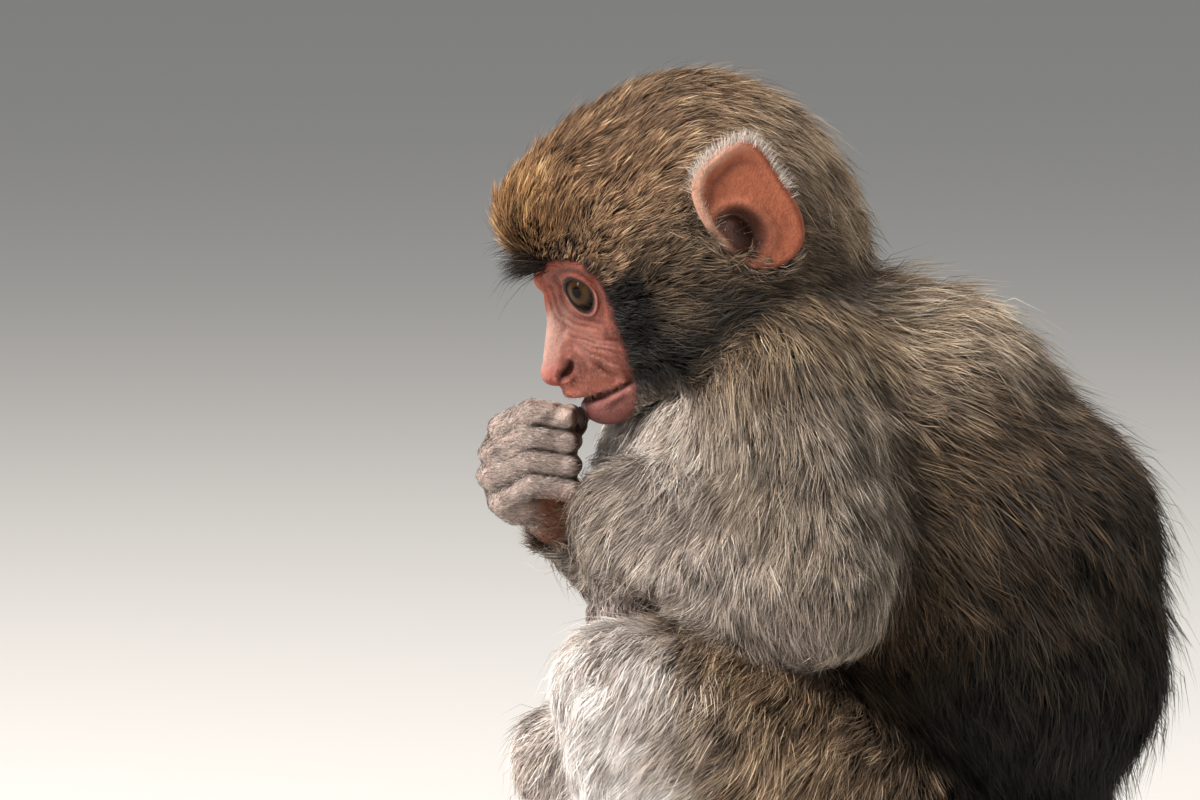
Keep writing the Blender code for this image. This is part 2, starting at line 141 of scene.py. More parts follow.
def ball(centre, radii, turn=None, detail=4):
    bm = bmesh.new()
    turn = turn.to_4x4() if turn is not None else Matrix.Identity(4)
    place = Matrix.Translation(Vector(centre)) @ turn @ Matrix.Diagonal((*radii, 1.0))
    bmesh.ops.create_icosphere(bm, subdivisions=detail, radius=1.0, matrix=place)
    return bm


def headBall(place, radii, detail=4):
    return ball(fromHead(place), radii, headTurn, detail)


def headPair(place, radii, detail=4):
    f, s, u = place
    return [headBall((f, side * s, u), radii, detail) for side in (1, -1)]


def limb(start, end, startRadius, endRadius, detail=3):
    bm = bmesh.new()
    for place, radius in ((start, startRadius), (end, endRadius)):
        spot = Matrix.Translation(Vector(place))
        bmesh.ops.create_icosphere(bm, subdivisions=detail, radius=radius, matrix=spot)
    hull = bmesh.ops.convex_hull(bm, input=bm.verts)
    inside = [v for v in hull["geom_interior"] if isinstance(v, bmesh.types.BMVert)]
    bmesh.ops.delete(bm, geom=inside, context="VERTS")
    return bm


def headLimb(start, end, startRadius, endRadius, detail=3):
    return limb(fromHead(start), fromHead(end), startRadius, endRadius, detail)


def headLimbPair(start, end, startRadius, endRadius):
    made = []
    for side in (1, -1):
        a, b = [(f, side * s, u) for f, s, u in (start, end)]
        made.append(headLimb(a, b, startRadius, endRadius))
    return made


def chain(points, radii):
    pairs = zip(zip(points, radii), zip(points[1:], radii[1:]))
    return [limb(a, b, ra, rb) for (a, ra), (b, rb) in pairs]


def joinShapes(name, shapes):
    whole = bmesh.new()
    for shape in shapes:
        mesh = meshOut(shape, bpy.data.meshes.new("shape"))
        whole.from_mesh(mesh)
        bpy.data.meshes.remove(mesh)
    return newObject(name, meshOut(whole, bpy.data.meshes.new(name)))


def settle(thing):
    graph = bpy.context.evaluated_depsgraph_get()
    mesh = bpy.data.meshes.new_from_object(thing.evaluated_get(graph))
    old = thing.data
    thing.modifiers.clear()
    thing.data = mesh
    bpy.data.meshes.remove(old)
    return thing


def regrow(thing, voxel):
    # the joined shapes as one closed surface
    remesh = thing.modifiers.new("oneSkin", "REMESH")
    remesh.mode = "VOXEL"
    remesh.voxel_size = voxel
    return settle(thing)


class Surface:
    # a mesh's points, edges and normals as arrays
    def __init__(self, thing):
        self.thing = thing
        mesh = thing.data
        self.points = readAll(mesh.vertices, "co", 3)
        self.edges = readAll(mesh.edges, "vertices", 2, np.int64)
        self.links = np.bincount(self.edges.ravel(), minlength=len(self.points)).astype(float)

    def normals(self):
        self.store()
        return readAll(self.thing.data.vertex_normals, "vector", 3, np.float32).astype(float)

    def average(self, values):
        a, b = self.edges[:, 0], self.edges[:, 1]
        count = len(self.points)
        columns = []
        for column in values.reshape(count, -1).T:
            total = np.bincount(a, column[b], count) + np.bincount(b, column[a], count)
            columns.append(total / np.maximum(self.links, 1))
        return np.array(columns).T.reshape(values.shape)

    def ease(self, rounds, weight=1.0):
        weight = np.broadcast_to(np.asarray(weight, float), (len(self.points),))[:, None]
        for _ in range(rounds):
            self.points += (self.average(self.points) - self.points) * weight * 0.6

    def spread(self, values, rounds):
        for _ in range(rounds):
            values = 0.4 * values + 0.6 * self.average(values)
        return values

    def store(self):
        self.thing.data.vertices.foreach_set("co", self.points.ravel())
        self.thing.data.update()


# for each CAD node, in mm: depth of the coat, length of a hair, width of a tuft;
# then tufts to a square mm, and mm between locks
coat = {
    "head": (4.0, 7.4, 0.25, 5.8, 1.6),
    "neck": (6.5, 14.5, 0.33, 3.2, 2.4),
    "chest": (6.8, 15.0, 0.34, 3.0, 2.6),
    "belly": (6.8, 15.5, 0.35, 2.8, 2.6),
    "pelvis": (6.8, 16.0, 0.37, 2.4, 2.8),
    "tail": (3.2, 10.0, 0.35, 2.4, 2.4),
    "upper_arm_left": (5.2, 13.0, 0.26, 6.0, 2.2),
    "forearm_left": (4.2, 11.0, 0.25, 6.0, 2.0),
    "upper_arm_right": (5.2, 13.5, 0.38, 2.4, 2.6),
    "forearm_right": (3.8, 10.5, 0.34, 3.2, 2.2),
    "thigh_left": (5.6, 13.5, 0.34, 3.5, 2.6),
    "shank_left": (4.2, 11.5, 0.30, 3.9, 2.2),
    "thigh_right": (5.6, 13.5, 0.38, 2.5, 2.6),
    "shank_right": (4.2, 11.5, 0.37, 2.8, 2.4),
    "hand_left": (0.9, 3.8, 0.24, 3.2, 1.4),
    "hand_right": (0.45, 2.4, 0.13, 5.0, 0.9),
    "foot_left": (0.8, 4.0, 0.24, 2.0, 1.4),
    "foot_right": (0.8, 4.0, 0.24, 2.0, 1.4),
    "jaw": (0.8, 3.4, 0.20, 4.6, 1.2),
    "ear_left": (0.2, 3.0, 0.20, 0.8, 1.2),
    "ear_right": (0.2, 3.0, 0.20, 0.8, 1.2),
}
nodeNames = list(coat)
bulky = [name for name in nodeNames if name.split("_")[0] not in ("hand", "foot", "ear", "jaw")]
coatTable = np.array([coat[name] for name in nodeNames])


def shareOf(owners, *names):
    # how far each point belongs to the named CAD nodes
    return sum(owners[:, nodeNames.index(name)] for name in names)


def nearestNode(points):
    # which CAD node lies closest to each point
    corners, faces, owners, base = [], [], [], 0
    for name in nodeNames:
        mesh = frame["nodes"][name].data
        mesh.calc_loop_triangles()
        corners.append(readAll(mesh.vertices, "co", 3) * 1000)
        faces.append(readAll(mesh.loop_triangles, "vertices", 3, np.int64) + base)
        owners += [nodeNames.index(name)] * len(mesh.loop_triangles)
        base += len(mesh.vertices)
    tree = BVHTree.FromPolygons(np.concatenate(corners).tolist(), np.concatenate(faces).tolist())
    return np.array([owners[tree.find_nearest(p)[2]] for p in points.tolist()])


# how the skin is made of the CAD forms, in mm
growing = {
    "swell": 0.5,
    "roughVoxel": 1.5,
    "voxel": 0.75,
    "keptFaces": 0.21,  # share that the thinning leaves
    "keptOnFingers": 0.30,  # how hard the thinning works on fingers, toes and ears
    "overFloor": 0.1,
}


def roughBody():
    # the coated forms joined, swollen over the gaps between them
    shapes = []
    for name in bulky:
        bm = meshIn(frame["nodes"][name].data)
        bmesh.ops.scale(bm, vec=(1000, 1000, 1000), verts=bm.verts)
        bmesh.ops.remove_doubles(bm, verts=bm.verts, dist=0.001)
        bmesh.ops.recalc_face_normals(bm, faces=bm.faces)
        bm.normal_update()
        for vert in bm.verts:
            vert.co += vert.normal * growing["swell"]
        shapes.append(bm)
    return regrow(joinShapes("skin", shapes), growing["roughVoxel"])


# the back edge of the bare face: the corner lies beside the eye, and from there the edge leans forward,
# slowly down the cheek, faster under the chin, and in a curl over the brow
faceEdge = {
    "corner": (24.5, 11.0),  # forward and up
    "cheekSlope": 0.30,
    "chinTop": -20.0,
    "chinSlope": 0.35,
    "browCurl": 0.0045,
    "lowest": -30.0,
    "highest": 25.0,
}


def faceEdgeAt(up):
    up = np.clip(up, faceEdge["lowest"], faceEdge["highest"])
    forward, level = faceEdge["corner"]
    cheek = faceEdge["cheekSlope"] * np.maximum(level - up, 0)
    chin = faceEdge["chinSlope"] * np.maximum(faceEdge["chinTop"] - up, 0)
    return forward + cheek + chin + faceEdge["browCurl"] * np.maximum(up - level, 0) ** 3


def bareFace(q):
    # 1 on the bare skin of the face, 0 under the coat
    edge = faceEdgeAt(q[:, 2])
    side = ramp(-1.2, 1.2, q[:, 0] - edge) * ramp(25.5, 23.5, np.abs(q[:, 1]))
    top = ramp(25.0, 23.0, q[:, 2])
    return side * top * ramp(-30, -27, q[:, 2])


def drawnIn(thing):
    # moves the surface in by the depth of the coat
    surface = Surface(thing)
    surface.ease(25)
    x, y, z = surface.points.T  # the shoulder runs into the back without a valley
    shoulder = ramp(118, 150, z) * ramp(208, 192, z) * ramp(-8, 6, y) * ramp(62, 46, y)
    surface.ease(110, shoulder * ramp(14, 26, np.abs(x)))
    owner = np.eye(len(nodeNames))[nearestNode(surface.points)]
    depth = surface.spread(owner, 8) @ coatTable[:, 0]
    q = toHead(surface.points)
    onHead = ramp(62, 52, np.linalg.norm(q, axis=1))
    whiskers = 3.0 * bump(q[:, 0] - 14, 13) * ramp(12, 24, np.abs(q[:, 1])) * ramp(4, -8, q[:, 2])
    brow = 2.2 * ramp(20, 28, q[:, 2]) * ramp(10, 30, q[:, 0])
    depth += onHead * (whiskers + brow)
    nearFace = ramp(14, 24, q[:, 0]) * ramp(28, 22, np.abs(q[:, 1])) * ramp(25, 19, q[:, 2])
    depth = depth * (1 - onHead * nearFace * 0.55)
    for _ in range(4):
        surface.points -= surface.normals() * depth[:, None] / 4
        surface.ease(3)
    surface.store()
    return thing


# the fine forms stand on the drawn-in body, in mm forward, sideways and up from the head's centre
eyes = {
    "place": (25.4, 12.5, 9.9),
    "radius": 8.4,
    "segments": 72,
    "lid": 1.5,
    "corneaRadius": 5.4,
    "corneaForward": 3.3,
    "gazeLeft": (41.0, 14.0),  # degrees outward and up
    "gazeRight": (-8.0, 12.0),
    "opening": (27.0, 5.0),  # its middle
    "halfWide": 42.0,
    "halfHigh": 37.0,
    "tilt": -8.0,
}


def faceShapes():
    lidRadius = eyes["radius"] + eyes["lid"]
    return [
        headBall((14, 0, 3), (22.0, 25.5, 23)),
        headBall((25, 0, 2), (13.5, 8.5, 16)),
        *headPair((19.5, 16.5, 8), (11.2, 9.8, 13)),
        *headPair(eyes["place"], (lidRadius,) * 3),
        *headLimbPair((25.5, 21, 16), (31.5, 12, 18.5), 4.0, 4.2),
        headLimb((31.5, -12, 18.5), (31.5, 12, 18.5), 4.2, 4.2),
        headBall((31, 0, 17.5), (7.5, 7, 5)),
        headLimb((33.5, 0, 15), (38.5, 0, 5), 3.8, 4.2),
        headLimb((38.5, 0, 5), (45.8, 0, -4.3), 4.2, 5.1),
        headBall((46.8, 0, -5.2), (5.8, 6.0, 4.6)),
        *headPair((43.6, 5.6, -6.4), (4.4, 3.4, 3.3)),
        headBall((33, 0, -8.5), (16.6, 16.5, 12.5)),
        headBall((40, 0, -11.6), (9.9, 11.8, 5.8)),
        *headPair((22.5, 16.5, -1), (10.5, 9.5, 9.5)),
        *headPair((23, 12.5, -10), (14.5, 10.5, 12)),
        headBall((37.4, 0, -21.0), (11.0, 12.3, 7.6)),
        *headLimbPair((35, 8, -19.5), (14, 18, -20), 7.0, 10.0),
        headBall((-6, 0, -10), (30, 30, 34)),
    ]


ear = {
    "middle": (-18.9, 43.2, 5.4),
    "halfHigh": 18.2,
    "halfWide": 11.7,
    "square": 2.5,
    "point": 3.2,  # the corner at the top of the back edge
    "flare": 7.0,
    "thickness": 1.8,
    "rings": 26,
    "spokes": 84,
    "concha": (-3.8, -5.4),  # up and back of the middle
    "conchaDepth": 6.5,
    "helix": 2.6,
    "antihelix": 2.1,
}


def earRadius(angle):
    n = ear["square"]
    up, back = np.abs(np.cos(angle)) / ear["halfHigh"], np.abs(np.sin(angle)) / ear["halfWide"]
    return (up ** n + back ** n) ** (-1 / n) + ear["point"] * bump(np.degrees(angle) - 35, 22)


def earPoint(ring, angle):
    # forward, outward and up from the ear's middle
    angle = (angle + math.pi) % math.tau - math.pi
    reach = ring * earRadius(angle)
    up, back = reach * math.cos(angle), reach * math.sin(angle)
    folded = max(0.0, math.cos(angle + 0.6)) + 0.25  # the rim folds over most at the top and front
    rim = ear["helix"] * max(0.0, (ring - 0.80) / 0.20) ** 1.3 * folded
    rim -= 0.9 * math.exp(-((ring - 0.74) / 0.07) ** 2) * folded
    cu, cb = up - ear["concha"][0], back - ear["concha"][1]
    around = math.hypot(cu / 7.6, cb / 6.4)
    bowl = -ear["conchaDepth"] * math.exp(-(around ** 3.0))
    bowl += 1.6 * math.exp(-(((cu - 1.8) / 1.2) ** 2 + ((cb + 1.5) / 3.5) ** 2))  # the small fold across it
    turn = math.atan2(cb, cu)
    ridge = ear["antihelix"] * math.exp(-((around - 1.22) / 0.17) ** 2) * (0.55 + 0.45 * math.cos(turn - 1.3))
    crus = 1.5 * math.exp(-((cb + 3.2 - 0.25 * (cu - 5)) / 1.5) ** 2) / (1 + math.exp(-(cu - 5.5)))
    tragus = 2.4 * math.exp(-(((cu + 1.5) / 3.2) ** 2 + ((cb + 6.2) / 2.2) ** 2))
    cut = -1.2 * math.exp(-(((cu + 7.0) / 2.2) ** 2 + ((cb + 1.0) / 2.0) ** 2))
    flare = ear["flare"] * (back / ear["halfWide"]) * 0.6
    return -back, flare + rim + bowl + ridge + crus * 0.6 + tragus + cut, up


def onEar(q):
    # how far back and up from the ear's middle, the angle round it, and the share of the way to its edge
    back, up = ear["middle"][0] - q[:, 0], q[:, 2] - ear["middle"][2]
    angle = np.arctan2(back, up)
    return back, up, angle, np.hypot(back, up) / earRadius(angle)


def earShape(side):
    # a spun disc of rings, bent to the ear's surface and given its thickness
    bm = bmesh.new()
    middle = bm.verts.new((0, 0, 0))
    arm = [middle] + [bm.verts.new((r / ear["rings"], 0, 0)) for r in range(1, ear["rings"] + 1)]
    edges = [bm.edges.new(pair) for pair in zip(arm, arm[1:])]
    bmesh.ops.spin(bm, geom=arm + edges, cent=(0, 0, 0), axis=(0, 0, 1), dvec=(0, 0, 0),
                   angle=math.tau, steps=ear["spokes"], use_merge=True)
    bmesh.ops.remove_doubles(bm, verts=bm.verts, dist=0.0005)
    f0, s0, u0 = ear["middle"]
    for vert in bm.verts:
        ring, angle = math.hypot(vert.co.x, vert.co.y), math.atan2(vert.co.y, vert.co.x)
        f, w, u = earPoint(ring, angle)
        vert.co = fromHead((f0 + f, side * (s0 + w), u0 + u))
    bmesh.ops.recalc_face_normals(bm, faces=bm.faces)
    bmesh.ops.solidify(bm, geom=bm.faces[:] + bm.edges[:] + bm.verts[:], thickness=ear["thickness"])
    return bm


def earRim(side):
    # the rounded edge, thickest along the top and front
    steps = 44
    f0, s0, u0 = ear["middle"]
    places, radii = [], []
    for step in range(steps + 1):
        angle = math.tau * step / steps
        f, w, u = earPoint(0.955, angle)
        places.append(fromHead((f0 + f, side * (s0 + w - 0.6), u0 + u)))
        radii.append(0.95 + 0.65 * max(0.0, math.cos(angle + 0.6)))
    return chain(places, radii)


# the fist at the lips, its fingers from the index down
curled = {
    "shift": (2.6, -2.55, 0.0),
    "top": 169.2,
    "step": 6.9,
    "insets": (0.6, -1.8, -2.2, 0.4),
    "fingerRadii": (5.0, 4.1, 3.6, 3.45, 3.1),
    "thumb": ((-8, -59, 152), (-6, -55.5, 163), (4, -52.4, 165.0)),
    "thumbRadii": (6.5, 4.7, 3.4),
}


def curledFingers():
    # each finger's number, height and inset
    top, step = curled["top"], curled["step"]
    return [(number, top - step * number, inset) for number, inset in enumerate(curled["insets"])]


def fist():
    wrist = joints["wristRight"]
    to = np.array(curled["shift"])
    shapes = [
        limb(wrist, np.array((-6, -66, 150)) + to, 10.0, 11.0),
        limb(np.array((-6, -67.5, 159)) + to, np.array((-3, -68, 147.5)) + to, 10.4, 10.6),
    ]
    for number, height, inset in curledFingers():
        root = np.array((-4, -70 + inset, height - 8)) + to
        knuckle = np.array((6.5, -73.6 + inset, height - 5.2)) + to
        bend = np.array((11.5, -65 + 0.5 * inset, height + 0.4)) + to
        middle = np.array((11.2, -55.4 + 0.5 * number, height - 1.4)) + to
        tip = np.array((-2, -53.5, height - 2.5)) + to
        shapes += chain([root, knuckle, bend, middle, tip], curled["fingerRadii"])
        shapes.append(ball(knuckle + (0.4, 0, 0.2), (4.3, 4.5, 4.1)))
        shapes.append(ball(middle + (0.3, 0, 0), (3.8, 3.9, 3.6)))
    return shapes + chain([np.array(p) + to for p in curled["thumb"]], curled["thumbRadii"])


def fistHollow(points):
    # 1 in the grooves between the curled fingers, as seen from the side
    near = np.full(len(points), 1e9)
    for number, height, inset in curledFingers():
        line = ((-76.1 + inset, height - 5.2), (-67.5 + 0.5 * inset, height + 0.4),
                (-57.9 + 0.5 * number, height - 1.4))
        near = np.minimum(near, distanceTo(points[:, 1:], np.array(line))[0])
    x, y, z = points.T
    return ramp(2.3, 3.3, near) * ramp(140, 145, z) * ramp(5, 9, x) * ramp(-78, -74, y)


def openFingers():
    # the hand on the knee: each finger's root, joint and tip
    found = []
    for number in range(4):
        spread = -7.5 + 5.0 * number
        root = joints["wristLeft"] + (-7 + spread * 0.4, 1 + spread, -28)
        middle = root + (-4, 0.15 * spread, -15)
        found.append((root, middle, middle + (-2, 5 + 0.1 * spread, -10)))
    return found


def openHand():
    wrist = joints["wristLeft"]
    shapes = [limb(wrist + (-4, 1, -8), wrist + (-7, 1, -24), 10.3, 9.8)]
    shapes.append(limb(wrist, wrist + (-5, 1, -12), 12.0, 10.3))
    for root, middle, tip in openFingers():
        shapes += chain([root, middle, tip], [4.3, 3.6, 3.0])
        shapes.append(ball(middle, (4.1, 4.1, 4.1), None, 3))
    shapes += chain([wrist + (-9, -4, -10), wrist + (-16, -3, -22)], [4.5, 3.2])
    return shapes


def footToes(side):
    # each toe as root, joint and tip; the great toe last
    swing = 1 if side == "Left" else -1
    heel, toes = joints["heel" + side], joints["toes" + side]
    along = toes - heel
    along[2] = 0
    length = np.linalg.norm(along)
    along = along / length
    inward = np.array((-along[1], along[0], 0)) * -1
    if inward[0] * swing > 0:
        inward = -inward
    found = []
    for number in range(4):
        spread = 8.2 - 6.1 * number
        root = heel + along * length * 0.66 + inward * spread
        middle = heel + along * (length * 0.88 - 2.2 * abs(number - 1)) + inward * spread * 1.15
        tip = heel + along * (length * 1.08 - 3.4 * abs(number - 1)) + inward * spread * 1.2
        root[2], middle[2], tip[2] = 5.6, 6.4, 3.2
        found.append((root, middle, tip, (4.7, 3.5, 2.9)))
    greatToe = ((0.34, 6), (0.52, 17), (0.70, 21))  # share of the sole's length, and mm inward
    start, bend, tip = [heel + along * length * a + inward * b for a, b in greatToe]
    start[2], bend[2], tip[2] = 6.4, 5.2, 4.2
    found.append((start, bend, tip, (6.3, 5.1, 4.0)))
    return along * length, found


def foot(side):
    heel, ankle = joints["heel" + side], joints["ankle" + side]
    sole, toes = footToes(side)
    arch, front = heel + sole * 0.32 + (0, 0, 3), heel + sole * 0.70 - (0, 0, 0.6)
    shapes = chain([heel, arch, front], [10.0, 12.0, 9.6])
    shapes.append(limb(ankle + (0, 0, 8), ankle, 9.0, 10.5))
    shapes.append(limb(ankle, heel, 10.8, 9.6))
    for root, middle, tip, radii in toes:
        shapes += chain([root, middle, tip], radii)
        shapes.append(ball(middle, (radii[1] + 0.3,) * 3, None, 3))
    return shapes


def buildSkin():
    body = drawnIn(roughBody())
    print("body drawn in", len(body.data.vertices))
    shapes = faceShapes() + fist() + openHand() + foot("Left") + foot("Right")
    for side in (1, -1):
        shapes += [earShape(side), *earRim(side), headBall((-12.5, side * 36, 2.0), (5, 7.5, 8), 3)]
    shapes.append(meshIn(body.data))
    bpy.data.objects.remove(body)
    skin = joinShapes("skin", shapes)
    regrow(skin, growing["voxel"])
    print("skin grown", len(skin.data.vertices))
    return skin


# creases of the face as seen from the side, (forward, up) in mm
creases = {
    # arcs under the eye
    "lid": {"count": 3, "reach": 10.8, "step": 1.6, "angles": (-8, -36, -67), "depth": 0.45, "fading": 0.08},
    # beside the nose's root
    "root": {"count": 3, "from": ((36.5, 16.5), (38.0, 11.5), (39.0, 7.0)), "step": -1.6, "depth": 0.42},
    # a fan from the nose's side, every other one finer
    "cheek": {"count": 7, "from": ((39.0, 3.5), (36.0, -1.0), (30.5, -5.5)), "depth": 0.55,
              "step": ((0.3, -1.2), (0.4, -1.3), (0.75, -1.7))},
    # arcs behind the nostril
    "wing": {"reach": (3.4, 4.6), "angles": (130, 190, 250), "depth": 0.48},
}
nostril = {"line": ((44, -4.5), (45.5, -5.5), (47.5, -6.5)), "depth": 3.0, "width": 0.75}
mouth = {"line": ((50.5, -14), (43.5, -17), (33.5, -18)), "depth": 1.9, "width": 0.7}


def arcAbout(centre, reach, angles):
    turns = [math.radians(angle) for angle in angles]
    return [(centre[0] + reach * math.cos(t), centre[1] + reach * math.sin(t)) for t in turns]


def faceFolds():
    # each crease's start, middle and end, then its depth and width
    made = []
    eye = (eyes["place"][0], eyes["place"][2])
    lid, root, cheek, wing = (creases[name] for name in ("lid", "root", "cheek", "wing"))
    for number in range(lid["count"]):
        places = arcAbout(eye, lid["reach"] + number * lid["step"], lid["angles"])
        made.append((*places, lid["depth"] - lid["fading"] * number, 0.6))
    for number in range(root["count"]):
        made.append((*((f + number * root["step"], u) for f, u in root["from"]), root["depth"], 0.6))
    for number in range(cheek["count"]):
        steps = zip(cheek["from"], cheek["step"])
        places = [(f + number * df, u + number * du) for (f, u), (df, du) in steps]
        fine = number % 2
        made.append((*places, cheek["depth"] - 0.25 * fine, 0.6 - 0.15 * fine))
    for reach in wing["reach"]:
        made.append((*arcAbout(nostril["line"][1], reach, wing["angles"]), wing["depth"], 0.65))
    made.append(((47, -6.5), (49, -7.5), (50, -9), 0.30, 0.6))  # the nostril's front
    made.append(((34.5, 17.5), (31, 18.5), (27.5, 16.5), 0.35, 0.6))  # over the eye
    made.append(((43, -21.5), (40, -21), (36.5, -20), 0.30, 0.9))  # under the lower lip
    made.append(((34.5, -13), (33.5, -17), (34.5, -23), 0.45, 0.9))  # behind the mouth's corner
    return made


folds = faceFolds()


def curvePoints(a, b, c, count=26):
    t = np.linspace(0, 1, count)[:, None]
    a, b, c = (np.array(p, float) for p in (a, b, c))
    through = 2 * b - 0.5 * (a + c)  # so that the curve passes through b
    return (1 - t) ** 2 * a + 2 * t * (1 - t) * through + t ** 2 * c


def distanceTo(points, line):
    # distance to a line of points, and how far along it the nearest place is
    nearest, share = np.full(len(points), 1e9), np.zeros(len(points))
    for i, (a, b) in enumerate(zip(line, line[1:])):
        step = b - a
        t = np.clip(((points - a) @ step) / (step @ step), 0, 1)
        d = np.linalg.norm(points - (a + t[:, None] * step), axis=1)
        share = np.where(d < nearest, (i + t) / (len(line) - 1), share)
        nearest = np.minimum(nearest, d)
    return nearest, share


def foldAt(sideView, fold):
    # the groove's strength, fading at its ends, and the low ridges beside it
    start, middle, end, depth, width = fold
    x, y = sideView.T
    wavy = sideView + 0.22 * np.stack([np.sin(0.9 * y + 0.4 * x), np.sin(0.8 * x - 0.5 * y + depth * 40)], 1)
    d, share = distanceTo(wavy, curvePoints(start, middle, end))
    fade = np.sin(np.pi * np.clip(share, 0.02, 0.98)) ** 0.6
    return fade * bump(d, width), fade * bump(d - 2.0 * width, width)


def mouthAt(sideView):
    line = curvePoints(*mouth["line"], 16)
    return distanceTo(sideView, line)[0], np.interp(sideView[:, 0], line[::-1, 0], line[::-1, 1])


def refineFace(skin):
    bm = meshIn(skin.data)
    co = np.array([v.co for v in bm.verts])
    q = toHead(co)
    near = (q[:, 0] > 21) & (np.abs(q[:, 1]) < 26) & (q[:, 2] < 21) & (q[:, 2] > -28) & (q[:, 0] < 56)
    marked = near.tolist()
    edges = [e for e in bm.edges if marked[e.verts[0].index] and marked[e.verts[1].index]]
    bmesh.ops.subdivide_edges(bm, edges=edges, cuts=1, use_grid_fill=True, smooth=0.0)
    meshOut(bm, skin.data)


def lookAlong(outwardAndUp, side):
    outward, up = (math.radians(v) for v in outwardAndUp)
    return np.array((math.cos(outward) * math.cos(up), side * math.sin(outward) * math.cos(up), math.sin(up)))


def openingAngles(q, side):
    # where a point stands round an eye: distance from its centre, and angle from the opening's middle
    f, s, u = eyes["place"]
    away = q - (f, side * s, u)
    radius = np.linalg.norm(away, axis=1)
    ahead = unit(lookAlong(eyes["opening"], side))
    across = unit(np.cross((0, 0, 1), ahead)) * side
    over = np.cross(ahead, across) * side
    d = away / np.maximum(radius, 1e-6)[:, None]
    angle = np.degrees(np.arccos(np.clip(d @ ahead, -1, 1)))
    turn = np.arctan2(d @ over, d @ across) - math.radians(eyes["tilt"])
    return radius, angle, turn


def lidLine(turn):
    # half-angle of the opening in each direction: an almond, rounder above
    x, y = np.cos(turn) / eyes["halfWide"], np.sin(turn) / eyes["halfHigh"]
    return 1.0 / np.power(np.abs(x) ** 1.8 + np.abs(y) ** 1.8, 1 / 1.8)


def sculptFace(surface):
    q = toHead(surface.points)
    face = np.flatnonzero((q[:, 0] > 20) & (np.abs(q[:, 1]) < 27) & (q[:, 2] < 24) & (q[:, 2] > -31))
    local = q[face]
    seen = local[:, [0, 2]]
    normal = surface.normals()[face] @ headAxes.T
    sideOn = ramp(0.5, 3.5, np.abs(local[:, 1])) * ramp(-0.05, 0.3, normal[:, 1] * np.sign(local[:, 1]))
    move = np.zeros(len(face))
    for fold in folds:
        groove, ridge = foldAt(seen, fold)
        move += sideOn * fold[3] * (0.35 * ridge - groove)
    near, line = mouthAt(seen)
    above = local[:, 2] - line
    lips = ramp(32.0, 36.0, local[:, 0])
    move -= mouth["depth"] * bump(near, mouth["width"]) * lips
    move += lips * (0.5 * bump(above - 2.0, 1.1) + 0.55 * bump(above + 2.4, 1.4))
    hole = distanceTo(seen, curvePoints(*nostril["line"]))[0]
    outward = np.abs(local[:, 1])
    beside = ramp(2.0, 3.6, outward) * ramp(12, 10, outward) * ramp(-0.1, 0.25, sideOn)
    move -= beside * nostril["depth"] * bump(hole, nostril["width"])
    move += beside * 0.5 * bump(hole - 2.0, 0.6)
    local = local + normal * move[:, None]
    for side in (1, -1):
        radius, angle, turn = openingAngles(local, side)
        edge = lidLine(turn)
        gap = angle - edge  # degrees beyond the lid's edge
        near = (radius < eyes["radius"] + 6.5) & (gap < 75) & (angle < 105)
        upper = ramp(-0.2, 0.4, np.sin(turn))
        target = eyes["radius"] - 1.3 + 1.75 * ramp(-4.5, 1.5, gap) + 0.45 * ramp(1.5, 9, gap)
        target -= 0.55 * bump(gap - 15, 2.6) * upper  # fold of the upper lid
        target -= 0.35 * bump(gap - 12, 2.2) * (1 - upper)
        target += 0.35 * bump(gap - 8, 3.0)
        hold = near * ramp(22, 9, gap)
        f, s, u = eyes["place"]
        centre = np.array((f, side * s, u))
        wanted = centre + (local - centre) / np.maximum(radius, 1e-6)[:, None] * target[:, None]
        local = local * (1 - hold[:, None]) + wanted * hold[:, None]
    surface.points[face] = fromHead(local)
    surface.store()


def dropSpecks(skin):
    # the thinning can shrink a bubble to a speck: two faces, back to back, that touch no others
    bm = meshIn(skin.data)
    bm.faces.index_update()
    specks = []
    for face in bm.faces:
        linked = {near.index for edge in face.edges for near in edge.link_faces}
        if len(linked) < 3:
            specks.append(face)
    bmesh.ops.delete(bm, geom=specks, context="FACES")
    meshOut(bm, skin.data)


def thinOut(skin):
    # few faces under the coat, many on the face, fingers, toes and ears
    surface = Surface(skin)
    bare = bareFace(toHead(surface.points))
    owner = nearestNode(surface.points)
    fine = np.isin(owner, [nodeNames.index(n) for n in nodeNames if n not in bulky])
    weight = np.round(np.where(fine, np.minimum(1 - bare, growing["keptOnFingers"]), 1 - bare), 1)
    group = skin.vertex_groups.new(name="coated")
    for level in np.unique(weight):
        group.add(np.flatnonzero(weight == level).tolist(), float(level), "REPLACE")
    thin = skin.modifiers.new("thinOut", "DECIMATE")
    thin.ratio = growing["keptFaces"]
    thin.vertex_group = group.name
    settle(skin)
    dropSpecks(skin)
    skin.vertex_groups.clear()


def unwrap(skin):
    # the skin's own unwrap, which places every tuft's patch as well
    skin.data.uv_layers.new(name="OFBake")
    bpy.context.view_layer.objects.active = skin
    skin.select_set(True)
    bpy.ops.object.mode_set(mode="EDIT")
    bpy.ops.mesh.select_all(action="SELECT")
    bpy.ops.uv.smart_project(angle_limit=math.radians(66), island_margin=0.002)
    bpy.ops.object.mode_set(mode="OBJECT")
    skin.select_set(False)


def linear(text):
    # an sRGB hex colour as linear light
    parts = [int(text[i:i + 2], 16) / 255 for i in (1, 3, 5)]
    return tuple(c / 12.92 if c <= 0.04045 else ((c + 0.055) / 1.055) ** 2.4 for c in parts)


